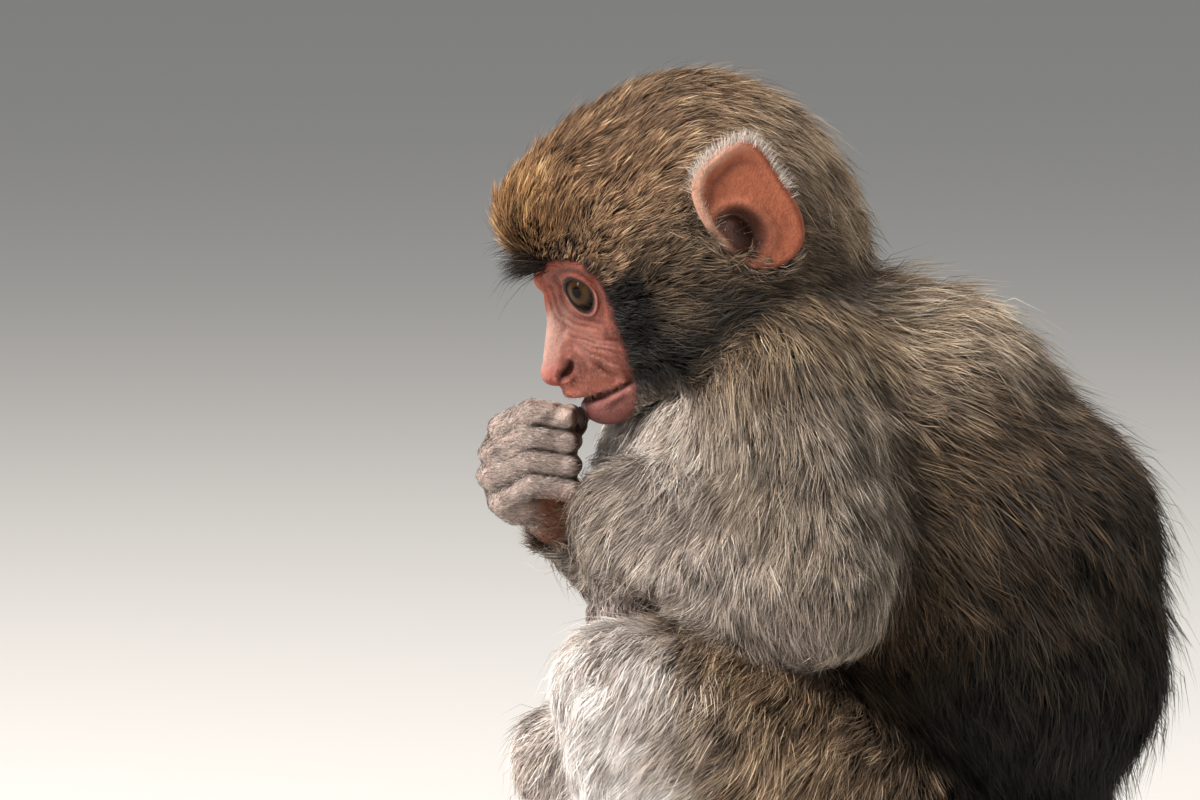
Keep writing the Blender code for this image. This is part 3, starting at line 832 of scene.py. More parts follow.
# each node's hair: deep shade, body, tip
hairColours = {
    "head": ("#221A12", "#8E6E54", "#E2B890"),
    "neck": ("#17120E", "#453A30", "#8C7258"),
    "chest": ("#171310", "#4A4034", "#9A7E60"),
    # belly and pelvis: dark hair, darkened further as painted shade
    "belly": ("#090908", "#1C1A16", "#544434"),
    "pelvis": ("#090908", "#1C1A16", "#544434"),
    "tail": ("#1A1510", "#443628", "#7A6246"),
    "upper_arm_left": ("#2E2720", "#86796C", "#C8B8A6"),
    "forearm_left": ("#342D27", "#84786D", "#C0B2A6"),
    "upper_arm_right": ("#2B241E", "#6E6052", "#AC9880"),
    "forearm_right": ("#3A332D", "#94887D", "#D2C4B8"),
    "thigh_left": ("#2A221B", "#937C65", "#DABD9C"),
    # the shanks: pale hair, made paler as painted light on the knees
    "shank_left": ("#DDD0C9", "#FAF0EA", "#FFFFFF"),
    "thigh_right": ("#241E18", "#746250", "#B49A7C"),
    "shank_right": ("#9A8C85", "#D8CAC3", "#F6ECE7"),
    "hand_left": ("#5C4E47", "#A4978F", "#D6CBC3"),
    "hand_right": ("#5E524C", "#9A8E87", "#CEC6C0"),
    "foot_left": ("#5C4E47", "#A09288", "#D2C6BC"),
    "foot_right": ("#5C4E47", "#A09288", "#D2C6BC"),
    "jaw": ("#7A655E", "#C4B3A8", "#F0E6DF"),
    "ear_left": ("#8C7A6C", "#CDBFB2", "#F2ECE4"),
    "ear_right": ("#8C7A6C", "#CDBFB2", "#F2ECE4"),
}
hairTable = np.array([[linear(c) for c in hairColours[name]] for name in nodeNames])  # node, level, rgb


# what changes on a node: its hair's deep shade, body and tip, in the order in which they are laid
furShades = {
    "nape": ("#30271E", "#977F67", "#E6C9A8"),  # grey-brown
    "headSide": ("#201B15", "#5C4E40", "#9A866E"),
    "crown": ("#1A130D", "#5E4834", "#A07C58"),
    "golden": ("#1E160F", "#8A6440", "#E2AE78"),
    "browLine": ("#15100C", "#4A3A2B", "#9A7C5E"),
    "jowl": ("#100D0A", "#342B21", "#725C42"),
    "cheekBand": ("#030303", "#070707", "#161414"),
    "shadowUnderEar": ("#100D0B", "#2A241D", "#5A4A38"),
    "chin": ("#6E625A", "#B8AAA0", "#E8DED6"),
    "neckFoldShadow": ("#070706", "#14120F", "#352D23"),
    "breast": ("#7A6E66", "#CCC0B4", "#F6ECE4"),
    "litWithers": ("#4A4034", "#C2AC94", "#FFECD6"),
    "shadedMidBack": ("#0A0908", "#221E18", "#544434"),
    "litNeckRear": ("#4E4438", "#C0AA92", "#FAE6CE"),
    "shadedLowTrunk": ("#060706", "#11110F", "#322C24"),
    "flank": ("#12100D", "#3A3026", "#80664A"),
    "paleTuft": ("#B8ACA4", "#F0E8E2", "#FFFFFF"),
    "armFrontLit": ("#524A40", "#B0A08E", "#E8DACA"),
    "shoulder": ("#1C1712", "#66553F", "#C09A6A"),
    "forearmMiddle": ("#5E544C", "#BDB0A6", "#F0E4DA"),
    "litThighFront": ("#E2D4CC", "#FBF0EA", "#FFFFFF"),
    "armShadowOnThigh": ("#12100C", "#3C3126", "#86684A"),
    "haunch": ("#12100D", "#3A3026", "#7C6248"),
    "litFarThighFront": ("#8A7E76", "#D2C6BE", "#F8F0EA"),
    "wrist": ("#2E1E14", "#6E4C34", "#A88060"),
    "shadowBetweenFingers": ("#1E1814", "#3C332D", "#5E534C"),
}


def hairColourField(points, q, owners, cavity):
    values = np.einsum("vn,nlc->vlc", owners, hairTable)
    x, y, z = points.T
    side = np.abs(q[:, 1])

    def share(*names):
        return shareOf(owners, *names)

    def lay(mask, name):
        # a set of hair colours over those before it, where the mask is high
        nonlocal values
        mask = mask[:, None, None]
        values = values * (1 - mask) + np.array([linear(c) for c in furShades[name]])[None] * mask

    onHead = share("head", "jaw")
    lay(onHead * ramp(2, -30, q[:, 0]), "nape")
    lay(onHead * ramp(20, 30, side) * ramp(24, 10, q[:, 2]) * 0.85, "headSide")
    crown = onHead * ramp(24, 34, q[:, 2]) * ramp(26, 12, q[:, 0])
    lay(crown * 0.6, "crown")
    golden = onHead * ramp(12, 28, q[:, 0]) * ramp(22, 29, q[:, 2])
    lay(golden * ramp(34, 14, side), "golden")
    lay(onHead * bump(q[:, 2] - 24, 5) * ramp(10, 26, q[:, 0]) * 0.65, "browLine")
    edge = faceEdgeAt(q[:, 2])
    jowl = ramp(10, -4, q[:, 2]) * ramp(30, 20, q[:, 0]) * ramp(-8, 4, q[:, 0])
    lay(onHead * jowl * 0.6, "jowl")
    # near-black band behind the bare face: dark hair, darkened further as painted shade in the cheek's hollow
    band = ramp(-15, -8, q[:, 0] - edge) * ramp(13, 8, q[:, 2]) * ramp(-23, -16, q[:, 2]) * ramp(13, 17, side)
    lay(onHead * band * 0.98, "cheekBand")
    low = onHead * ramp(-14, -26, q[:, 2])
    # painted shadow on the hair low on the head, under the ear and behind the jaw
    lay(low * ramp(10, 2, q[:, 0]) * 0.8, "shadowUnderEar")
    lay(low * ramp(12, 20, q[:, 0]) * ramp(26, 16, side), "chin")
    # painted shadow in the fold under the ear, where the head meets the shoulder
    foldLine = np.array(((-34.0, 181.0), (-20.0, 195.0), (0.0, 202.0), (20.0, 205.0)))
    fold = bump(distanceTo(np.stack([y, z], 1), foldLine)[0], 10.0)
    lay((onHead + share("neck")) * fold * ramp(14, 26, x) * (0.3 + 0.65 * ramp(10, -6, y)), "neckFoldShadow")
    trunk = share("neck", "chest", "belly", "pelvis")
    lay(trunk * ramp(-2, -18, y), "breast")
    # pale hair over the withers, made paler as painted light from above
    litWithers = share("neck", "chest") * ramp(172, 204, z) * ramp(6, 28, y)
    lay(litWithers * 0.9, "litWithers")
    # dark hair of the mid back, darkened further as painted shade
    lay(share("chest", "belly") * ramp(172, 140, z) * ramp(34, 62, y) * 0.85, "shadedMidBack")
    # painted light on the rear of the neck, as pale as the withers
    lay(share("neck") * ramp(-6, 10, y) * 0.8, "litNeckRear")
    # dark hair low on the trunk, darkened further as painted shade
    lay(share("chest", "belly", "pelvis") * ramp(132, 78, z) * ramp(-18, -2, y), "shadedLowTrunk")
    flank = share("chest", "belly", "pelvis") * ramp(50, 30, y) * ramp(150, 120, z) * ramp(78, 106, z)
    lay(flank * 0.5, "flank")
    tuft = share("neck", "chest", "upper_arm_left", "head") * bump(np.hypot(y + 41, z - 160), 9)
    lay(tuft, "paleTuft")
    arm = share("upper_arm_left")
    # pale hair on the front of the upper arm, partly painted highlight
    lay(arm * ramp(4, -16, y + 0.25 * (z - 150)) * 0.8, "armFrontLit")
    shoulder = arm + share("chest", "neck") * ramp(20, 40, x)
    lay(shoulder * ramp(172, 200, z) * ramp(-24, -4, y) * 0.7, "shoulder")
    middle = share("forearm_left") * bump(y + 24, 17) * ramp(112, 130, z)
    lay(middle * 0.65, "forearmMiddle")
    thigh = share("thigh_left")
    # pale hair on the front of the near thigh and knee, made paler as painted light
    lay(thigh * ramp(-8, -34, y + 0.2 * (z - 70)), "litThighFront")
    # painted shadow of the arm across the top of the thigh
    shade = thigh * ramp(-22, 10, y) * ramp(84, 102, z + 0.35 * y)
    lay(shade * 0.35, "armShadowOnThigh")
    lay(thigh * ramp(24, 50, y) * 0.6, "haunch")
    # pale hair on the front of the far thigh and knee, made paler as painted light
    lay(share("thigh_right") * ramp(-24, -44, y), "litFarThighFront")
    hand = share("hand_right")
    # reddish-brown hair under the wrist, darkened further as painted shade under the hand
    wrist = hand * ramp(-71, -63, y) * ramp(149, 142, z)
    lay(wrist * 0.85, "wrist")
    # painted shadow in the grooves between the curled fingers
    lay(hand * cavity, "shadowBetweenFingers")
    return values


def boneShare(points, a, b):
    a, b = joints[a], joints[b]
    return np.clip((points - a) @ (b - a) / ((b - a) @ (b - a)), 0, 1)


def hairFlow(points, normals, q, owners):
    x, y, z = points.T
    sideSign = np.sign(x)
    zero = np.zeros(len(points))
    flow = {}
    radial = unit(np.stack([zero, q[:, 1], q[:, 2] - 6], 1))
    frontal = (np.array((-1.0, 0, 0)) + 0.85 * radial) @ headAxes + np.array((0, 0, -0.12))
    rear = np.stack([0.15 * np.sign(q[:, 1]), zero + 1.0, zero - 0.42], 1)
    t = ramp(0, -34, q[:, 0])[:, None]
    flow["head"] = frontal * (1 - t) + rear * t
    flow["jaw"] = np.stack([0.2 * sideSign, zero + 0.6, zero - 0.8], 1)
    t = ramp(-24, 14, y)[:, None]
    flow["neck"] = (np.stack([0.25 * sideSign, zero - 0.25, zero - 1.0], 1) * (1 - t)
                    + np.stack([0.3 * sideSign, zero + 1.0, zero - 0.5], 1) * t)
    up, back = (z - 110) / 60, (y - 30) / 60
    trunk = np.stack([0.15 * sideSign, np.maximum(up, 0) * 1.1 * ramp(-30, 20, y) + 0.05,
                      -np.maximum(back, 0) - 0.5], 1)
    for name in ("chest", "belly"):
        flow[name] = trunk
    flow["pelvis"] = np.stack([0.12 * sideSign, zero + 0.12, zero - 1.0], 1)
    flow["tail"] = np.stack([zero, zero + 0.75, zero - 0.65], 1)
    for side, sign in (("left", 1), ("right", -1)):
        name = side.capitalize()
        share = boneShare(points, "shoulder" + name, "elbow" + name)
        shoulder, elbow = joints["shoulder" + name], joints["elbow" + name]
        bone = shoulder + share[:, None] * (elbow - shoulder)
        behind = ramp(-14, 16, y - bone[:, 1])
        sweep = 1.0 * behind * (1 - share) - 0.15
        flow["upper_arm_" + side] = np.stack([zero + 0.2 * sign, sweep, zero - 1.0], 1)
        share = boneShare(points, "elbow" + name, "wrist" + name)
        flow["forearm_" + side] = np.stack([zero + 0.1 * sign, -0.05 - 0.85 * share, -1.0 + 0.35 * share], 1)
        for part in ("thigh_", "shank_"):
            flow[part + side] = np.stack([zero + 0.12 * sign, zero - 0.62, zero - 0.85], 1)
        along = unit(joints["toes" + name] - joints["heel" + name])
        flow["foot_" + side] = np.tile(along + (0, 0, -0.1), (len(points), 1))
        out = unit(np.stack([zero, y - (head["centre"][1] + 10), z - 226], 1))
        flow["ear_" + side] = out + np.array((0.1 * sign, 0.5, 0.1))
    flow["hand_left"] = np.stack([zero, zero - 0.2, zero - 1.0], 1)
    faceOn = ramp(-0.2, -0.75, normals[:, 1])[:, None]
    flow["hand_right"] = (np.array((0.0, 1.0, -0.12)) * (1 - faceOn) + np.array((0.35, 0.0, 0.9)) * faceOn)
    total = sum(unit(flow[name]) * owners[:, [nodeNames.index(name)]] for name in nodeNames)
    return unit(total - (total * normals).sum(1)[:, None] * normals)


def noiseField(points, scale, seed):
    # smooth random values, the same at every run
    waves = np.random.default_rng(seed)
    value = np.zeros(len(points))
    for _ in range(14):
        direction = unit(waves.normal(size=3)) * waves.uniform(0.6, 1.6) * math.tau / scale
        value += np.sin(points @ direction + waves.uniform(0, math.tau))
    return value / math.sqrt(7)


fur = {
    "rootSink": 0.3,
    "stray": 0.03,  # share of hairs that stand away
    "lengthSpread": 0.24,
    "turnSpread": 0.24,  # radians, to either side of the lie
    "rollSpread": 0.7,
    "clump": (0.26, 0.58),  # how far the middle and the tip draw towards their lock
    "heightSpread": 0.26,
    "goldShare": 0.34,
    "darkShare": 0.24,
}


def strandMesh(name, rows, widths, across, colours, rootUv):
    # rows: points of every strand level by level, (levels, strands, 3)
    levels, strands = rows.shape[0], rows.shape[1]
    half = across * 0.5
    pairs = [np.stack([rows[i] - half * widths[i][:, None], rows[i] + half * widths[i][:, None]], 1)
             for i in range(levels - 1)]
    points = np.concatenate([*pairs, rows[-1][:, None, :]], 1)
    per = points.shape[1]
    base = np.arange(strands)[:, None] * per
    corners, sizes = [], []
    for i in range(levels - 2):
        corners.append(base + np.array([2 * i, 2 * i + 1, 2 * i + 3, 2 * i + 2]))
        sizes.append(4)
    corners.append(base + np.array([per - 3, per - 2, per - 1]))
    sizes.append(3)
    loops = np.concatenate(corners, 1).ravel()
    sizes = np.tile(sizes, strands)
    mesh = bpy.data.meshes.new(name)
    mesh.vertices.add(strands * per)
    mesh.vertices.foreach_set("co", (points * 0.001).ravel())
    mesh.loops.add(len(loops))
    mesh.loops.foreach_set("vertex_index", loops)
    mesh.polygons.add(len(sizes))
    starts = np.concatenate([[0], np.cumsum(sizes)[:-1]])
    mesh.polygons.foreach_set("loop_start", starts)
    mesh.update(calc_edges=True)
    shadeSmooth(mesh)
    pairTones = np.repeat(colours[:-1].transpose(1, 0, 2), 2, axis=1)
    storeTones(mesh, "hairTone", np.concatenate([pairTones, colours[-1][:, None, :]], 1))
    layer = mesh.uv_layers.new(name="OFBake")
    step = np.linspace(-0.0015, 0.0015, levels)
    patch = [[(-0.0015, s), (0.0015, s)] for s in step[:-1]]
    patch = np.array([p for pair in patch for p in pair] + [(0.0, step[-1])])
    uv = (rootUv[:, None, :] + patch[None]).reshape(-1, 2)
    layer.data.foreach_set("uv", uv[loops].ravel())
    return newObject(name, mesh)


class Roots:
    # hair roots scattered over the skin, with what the skin says at each
    def __init__(self, skin, fields, weight):
        mesh = skin.data
        mesh.calc_loop_triangles()
        tris = readAll(mesh.loop_triangles, "vertices", 3, np.int64)
        loops = readAll(mesh.loop_triangles, "loops", 3, np.int64)
        uv = readAll(mesh.uv_layers["OFBake"].data, "uv", 2)
        a, b, c = (fields["point"][tris[:, i]] for i in range(3))
        area = np.linalg.norm(np.cross(b - a, c - a), axis=1) / 2
        wanted = area * weight[tris].mean(1)
        total = int(wanted.sum())
        steps = (np.arange(total) + chance.random(total)) / total * wanted.sum()
        picks = np.minimum(np.searchsorted(np.cumsum(wanted), steps), len(tris) - 1)
        u, v = chance.random(total), chance.random(total)
        over = u + v > 1
        u, v = np.where(over, 1 - u, u), np.where(over, 1 - v, v)
        share = np.stack([1 - u - v, u, v], 1)
        self.count = total
        self.uv = np.einsum("ij,ijk->ik", share, uv[loops[picks]])
        self.at = {}
        for name, values in fields.items():
            flat = values.reshape(len(values), -1)
            found = np.einsum("ij,ijk->ik", share, flat[tris[picks]])
            self.at[name] = found.reshape(total, *values.shape[1:])

    def part(self, mask):
        some = object.__new__(Roots)
        some.count = int(mask.sum())
        some.uv = self.uv[mask]
        some.at = {name: values[mask] for name, values in self.at.items()}
        return some


def laidOver(tree, points, heights):
    # the points moved to their heights over the skin, and the skin's facing there
    placed, facing = points.copy(), points.copy()
    for i, p in enumerate(points.tolist()):
        spot, normal = tree.find_nearest(p)[:2]
        placed[i], facing[i] = spot, normal
    return placed + facing * heights[:, None], facing


def growCoat(roots, tree):
    # every tuft of the coat as root, middle and tip, with its width, its side and its colours
    n = roots.count
    at = roots.at
    point, normal = at["point"], unit(at["normal"])
    lie = unit(at["flow"] - (at["flow"] * normal).sum(1)[:, None] * normal)
    turn = chance.normal(0, fur["turnSpread"], n)
    turn = turn + 0.16 * noiseField(point, 24, 5) + 0.10 * noiseField(point, 9, 6)
    side = np.cross(normal, lie)
    lie = lie * np.cos(turn)[:, None] + side * np.sin(turn)[:, None]
    stray = chance.random(n) < fur["stray"] * at["loose"]
    length = at["length"] * np.clip(1 + chance.normal(0, fur["lengthSpread"], n), 0.45, 1.7)
    length = length * np.where(stray, 1.2, 1.0) * (1 + 0.08 * noiseField(point, 14, 9))
    height = at["depth"] * np.clip(1 + chance.normal(0, fur["heightSpread"], n), 0.3, 1.6)
    height = height * (1 + 0.10 * noiseField(point, 11, 10)) * np.where(stray, 1.9, 1.0)
    height = np.minimum(height, length * 0.75)
    root = point - normal * fur["rootSink"]
    middle, facing = laidOver(tree, root + lie * (length * 0.42)[:, None], height * 0.70)
    onward = unit(middle - root)
    onward = unit(onward - (onward * facing).sum(1)[:, None] * facing)
    tip, facing = laidOver(tree, middle + onward * (length * 0.52)[:, None], height)
    far = np.linalg.norm(tip - middle, axis=1) > length * 0.9  # a neighbouring limb took it
    tip = np.where(far[:, None], middle + onward * (length * 0.5)[:, None], tip)
    leaders = np.flatnonzero(chance.random(n) < 1 / np.maximum(at["density"] * at["clump"] ** 2, 1.0))
    nearTree = kdtree.KDTree(len(leaders))
    for index, leader in enumerate(leaders.tolist()):
        nearTree.insert(point[leader].tolist(), index)
    nearTree.balance()
    lock = np.array([nearTree.find(p)[1] for p in point.tolist()])
    follow = leaders[lock]
    alike = (normal * normal[follow]).sum(1) > 0.5
    hold = alike * np.where(stray, 0.1, 1.0) * chance.uniform(0.4, 1.2, n)
    for row, pull in ((middle, fur["clump"][0]), (tip, fur["clump"][1])):
        row += (row[follow] - row) * (pull * hold)[:, None]
    middle[:, 2] = np.maximum(middle[:, 2], 0.3)
    tip[:, 2] = np.maximum(tip[:, 2], 0.2)
    for row in (middle, tip):  # the longest hairs of the flanks lie closer
        row[:, 0] -= np.sign(row[:, 0]) * 0.7 * np.maximum(np.abs(row[:, 0]) - 83.0, 0)
    rows = np.array([root, middle, tip])
    side = unit(np.cross(normal, tip - root))
    roll = chance.normal(0, fur["rollSpread"], n)
    across = side * np.cos(roll)[:, None] + normal * np.sin(roll)[:, None]
    width = at["width"] * np.clip(1 + chance.normal(0, 0.2, n), 0.5, 1.6) * np.where(stray, 0.6, 1.0)
    widths = np.array([width, width * 0.85, width * 0])
    deep, body, end = at["hair"][:, 0], at["hair"][:, 1], at["hair"][:, 2]
    patch = noiseField(point, 12, 21) + 0.6 * noiseField(point, 5.0, 22)
    locks = chance.normal(0, 1, len(leaders))[lock]
    shade = np.exp(0.20 * patch + 0.22 * locks + chance.normal(0, 0.32, n))[:, None]
    pick = chance.random(n)
    gold = (pick < fur["goldShare"])[:, None]
    dark = (pick > 1 - fur["darkShare"])[:, None]
    tipTone = np.where(gold, end * 1.15, np.where(dark, 0.7 * deep + 0.3 * body, 0.6 * end + 0.4 * body))
    bodyTone = np.where(dark, 0.5 * body + 0.5 * deep, body)
    # every tuft is darkest at its root: the hair's own root colour, darkened further as painted shade deep in
    # the coat
    colours = np.clip(np.array([0.7 * deep + 0.15 * bodyTone, bodyTone, tipTone]) * shade, 0.0, 1.0)
    print("coat grown", n, "tufts")
    return rows, widths, across, colours


def pieceOf(name, coatParts, rootUv, mask):
    rows, widths, across, colours = coatParts
    made = strandMesh(name, rows[:, mask], widths[:, mask], across[mask], colours[:, mask], rootUv[mask])
    print(name, int(mask.sum()), "tufts")
    return made


def addNode(tree, kind, settings=None, links=None):
    # one node, its values and what feeds it
    node = tree.nodes.new(kind)
    for key, value in (settings or {}).items():
        if isinstance(key, str) and hasattr(node, key) and key not in node.inputs:
            setattr(node, key, value)
        else:
            node.inputs[key].default_value = value
    for key, source in (links or {}).items():
        tree.links.new(source, node.inputs[key])
    return node


def newMaterial(name, finish):
    made = bpy.data.materials.new(name)
    made.use_nodes = True
    shader = made.node_tree.nodes["Principled BSDF"]
    for key, value in finish.items():
        shader.inputs[key].default_value = value
    return made, made.node_tree, shader


def hairMaterial():
    # keratin hair: matt along the strand with a soft sheen, its colour banded from root to tip
    finish = {"Roughness": 0.62, "IOR": 1.55, "Specular IOR Level": 0.32}
    made, tree, shader = newMaterial("monkeyHair", finish)
    tone = addNode(tree, "ShaderNodeAttribute", {"attribute_name": "hairTone"})
    tree.links.new(tone.outputs["Color"], shader.inputs["Base Color"])
    return made


def skinMaterial():
    # living skin: soft, slightly moist, finely wrinkled; darker where the hair grows
    finish = {
        "Roughness": 0.50,
        "IOR": 1.4,
        "Specular IOR Level": 0.35,
        "Subsurface Weight": 0.12,
        "Subsurface Radius": (1.0, 0.35, 0.2),
        "Subsurface Scale": 0.0015,  # metres
    }
    made, tree, shader = newMaterial("monkeySkin", finish)
    place = addNode(tree, "ShaderNodeTexCoord")
    tone = addNode(tree, "ShaderNodeAttribute", {"attribute_name": "skinTone"})
    mottle = addNode(tree, "ShaderNodeTexNoise", {"Scale": 420.0, "Detail": 4.0, "Roughness": 0.6},
                     {"Vector": place.outputs["Object"]})  # blotches of 2 to 3 mm
    strength = {"From Min": 0.3, "From Max": 0.7, "To Min": 0.82, "To Max": 1.16}
    spread = addNode(tree, "ShaderNodeMapRange", strength, {"Value": mottle.outputs["Fac"]})
    mixed = addNode(tree, "ShaderNodeVectorMath", {"operation": "MULTIPLY"},
                    {0: tone.outputs["Color"], 1: spread.outputs["Result"]})
    tree.links.new(mixed.outputs["Vector"], shader.inputs["Base Color"])
    pores = addNode(tree, "ShaderNodeTexVoronoi", {"Scale": 1500.0, "feature": "F1"},
                    {"Vector": place.outputs["Object"]})  # skin cells about 0.7 mm across
    lines = addNode(tree, "ShaderNodeTexNoise", {"Scale": 700.0, "Detail": 5.0, "Distortion": 0.6},
                    {"Vector": place.outputs["Object"]})
    height = addNode(tree, "ShaderNodeMath", {"operation": "MULTIPLY_ADD", 1: 0.5},
                     {0: pores.outputs["Distance"], 2: lines.outputs["Fac"]})
    relief = addNode(tree, "ShaderNodeBump", {"Strength": 0.75, "Distance": 0.0004},
                     {"Height": height.outputs["Value"]})
    tree.links.new(relief.outputs["Normal"], shader.inputs["Normal"])
    return made


def eyeMaterial():
    # a glass eye: amber iris with a dark rim and round pupil under a clear, wet surface
    finish = {
        "Roughness": 0.35,
        "IOR": 1.45,
        "Specular IOR Level": 0.0,
        "Coat Weight": 0.25,
        "Coat Roughness": 0.02,
        "Coat IOR": 1.5,
    }
    made, tree, shader = newMaterial("glassEye", finish)
    tone = addNode(tree, "ShaderNodeAttribute", {"attribute_name": "eyeTone"})
    tree.links.new(tone.outputs["Color"], shader.inputs["Base Color"])
    return made


def nailMaterial():
    # horn: dark, smooth, faintly streaked
    made, tree, shader = newMaterial("nailHorn", {"Roughness": 0.35, "IOR": 1.54})
    place = addNode(tree, "ShaderNodeTexCoord")
    streak = addNode(tree, "ShaderNodeTexNoise", {"Scale": 900.0, "Detail": 3.0},
                     {"Vector": place.outputs["Object"]})  # streaks about 1 mm apart
    ramped = addNode(tree, "ShaderNodeValToRGB", {}, {"Fac": streak.outputs["Fac"]})
    for stop, colour in zip(ramped.color_ramp.elements, ("#1A1412", "#4A3C36")):
        stop.color = (*linear(colour), 1)
    tree.links.new(ramped.outputs["Color"], shader.inputs["Base Color"])
    return made


# the bare skin's colours, in the order in which they are laid
skinShades = {
    "face": "#723C31",
    "faceDark": "#582820",
    "facePale": "#9C6252",
    "litNoseBridge": "#BE9A8E",
    "cheekbone": "#B07868",
    "overEyes": "#743624",
    "browMiddle": "#9C5036",
    "noseTip": "#B8655A",
    "upperLip": "#B06C5C",
    "lowerLip": "#8E5B56",
    "outerCorner": "#7E4638",
    "innerCorner": "#6E3630",
    "hollow": "#5A2A24",
    "crease": "#4C211B",
    "ridgeHighlight": "#C08474",
    "mouthShadow": "#30130F",
    "nostril": "#1E0C0A",
    "roundEye": "#7A4238",
    "lowerLid": "#B88478",
    "upperLash": "#0E0807",
    "lidEdge": "#1C0D0D",
    "lidFoldShade": "#4E221E",
    "ear": "#A05C42",
    "earLow": "#8C4C38",
    "earGrooveShade": "#6A3526",
    "earRidgeHighlight": "#B87860",
    "earBowlShade": "#4A2C22",
    "earHoleShade": "#2A1913",
    "earRim": "#C89C86",
    "hand_right": "#BCA89F",
    "hand_left": "#6A5650",
    "foot_left": "#7A665E",
    "foot_right": "#7A665E",
    "palm": "#6A4A3E",
    "wrist": "#7C4C38",
    "shadowBetweenFingers": "#30231E",
    "sole": "#8A6258",
}


def skinTones(q, fields):
    points, normals, owners, bare = (fields[n] for n in ("point", "normal", "owners", "bare"))
    tones = fields["hair"][:, 0] * 0.6  # under the coat
    side = np.abs(q[:, 1])
    mirrored = np.stack([q[:, 0], side, q[:, 2]], 1)
    seen = q[:, [0, 2]]

    def paint(mask, name):
        nonlocal tones
        mask = np.clip(mask, 0, 1)[:, None]
        tones = tones * (1 - mask) + np.array(linear(skinShades[name])) * mask

    def spot(place, size, reach=(1, 1, 1)):
        return bump(np.linalg.norm((mirrored - place) * reach, axis=1), size)

    cloud = noiseField(points, 6, 31) + 0.7 * noiseField(points, 2.4, 32)
    paint(bare, "face")
    paint(bare * ramp(-0.2, 1.6, cloud) * 0.5, "faceDark")
    paint(bare * ramp(0.2, 2.0, -cloud) * 0.45, "facePale")
    # pale skin along the nose bridge, partly painted highlight
    paint(bare * bump(side, 5.0) * ramp(-9, 0, q[:, 2]) * ramp(13, 7, q[:, 2]), "litNoseBridge")
    paint(bare * spot((36.5, 15.5, -1.5), 4.0) * 0.5, "cheekbone")
    paint(bare * ramp(8.5, 14, q[:, 2]), "overEyes")
    paint(bare * bump(side, 4.5) * ramp(10, 15, q[:, 2]) * 0.7, "browMiddle")
    paint(bare * spot((50.5, 2, -6.5), 5.0) * 0.7, "noseTip")
    paint(bare * ramp(-8.5, -12.5, q[:, 2]) * ramp(32, 40, q[:, 0]) * 0.85, "upperLip")
    mouthNear, line = mouthAt(seen)
    paint(bare * ramp(0.6, -1.4, q[:, 2] - line), "lowerLip")
    paint(bare * spot((30.5, 20.5, 6.0), 4.2) * 0.8, "outerCorner")
    paint(bare * spot((36.8, 10.5, 9.0), 4.0) * 0.75, "innerCorner")
    # painted shade in the hollows of the bare face
    paint(bare * fields["cavity"] * 0.5, "hollow")
    # painted shade in each crease of the face, and painted highlight on the low ridges beside it
    for fold in folds:
        groove, ridge = foldAt(seen, fold)
        sideOn = ramp(0.5, 3.5, side)
        paint(bare * sideOn * 0.6 * groove, "crease")
        paint(bare * sideOn * 0.22 * ridge, "ridgeHighlight")
    # painted shadow in the slit between the lips
    paint(bare * bump(mouthNear, 0.75) * ramp(32.0, 35, q[:, 0]), "mouthShadow")
    hole = distanceTo(seen, curvePoints(*nostril["line"]))[0]
    # painted shadow inside the nostril
    paint(bare * ramp(1.8, 3.0, side) * bump(hole, 1.1), "nostril")
    for s in (1, -1):
        radius, angle, turn = openingAngles(q, s)
        gap = angle - lidLine(turn)
        near = bare * ramp(16, 12, radius)
        upper = ramp(-0.2, 0.4, np.sin(turn))
        paint(near * bump(gap - 9, 5.0) * 0.6, "roundEye")
        paint(near * bump(gap - 6.5, 2.0) * (1 - upper) * 0.45, "lowerLid")
        paint(near * ramp(7.0, 3.0, gap) * upper, "upperLash")
        # dark lid margin, with painted shade where the lid meets the eye
        paint(near * ramp(4.5, 1.5, gap), "lidEdge")
        # painted shade in the fold of the upper lid
        paint(near * bump(gap - 15, 1.8) * 0.6, "lidFoldShade")
    ears = ramp(0.25, 0.6, shareOf(owners, "ear_left", "ear_right")) * ramp(33, 38, side)
    back, up, angle, ring = onEar(q)
    around = np.hypot((up - ear["concha"][0]) / 7.6, (back - ear["concha"][1]) / 6.4)
    paint(ears, "ear")
    paint(ears * ramp(-2, -12, up) * 0.5, "earLow")
    # painted shade in the groove inside the rim, in the bowl and in the ear's opening, and painted highlight
    # along the ridge round the bowl
    paint(ears * bump(ring - 0.70, 0.07) * ramp(-0.2, 0.6, np.cos(angle + 0.6)) * 0.6, "earGrooveShade")
    paint(ears * bump(around - 1.3, 0.13) * 0.4, "earRidgeHighlight")
    paint(ears * ramp(1.30, 0.85, around), "earBowlShade")
    paint(ears * ramp(0.7, 0.2, around) * 0.8, "earHoleShade")
    paint(ears * ramp(0.80, 0.92, ring) * ramp(-0.1, 0.6, np.cos(angle + 0.9)) * 0.8, "earRim")
    handed = 1 - ramp(-0.4, 0.8, q[:, 2] - line) * ramp(52.0, 50.8, q[:, 0])  # not the lips beside it
    for name in ("hand_right", "hand_left", "foot_left", "foot_right"):
        paint(shareOf(owners, name) * (handed if name == "hand_right" else 1.0), name)
    palm = shareOf(owners, "hand_right") * ramp(0.2, 0.7, normals[:, 1]) * ramp(-62, -56, points[:, 1])
    paint(palm, "palm")
    # reddish-brown skin under the wrist, darkened further as painted shade under the hand
    under = shareOf(owners, "hand_right") * ramp(-71, -63, points[:, 1]) * ramp(149, 142, points[:, 2])
    paint(under, "wrist")
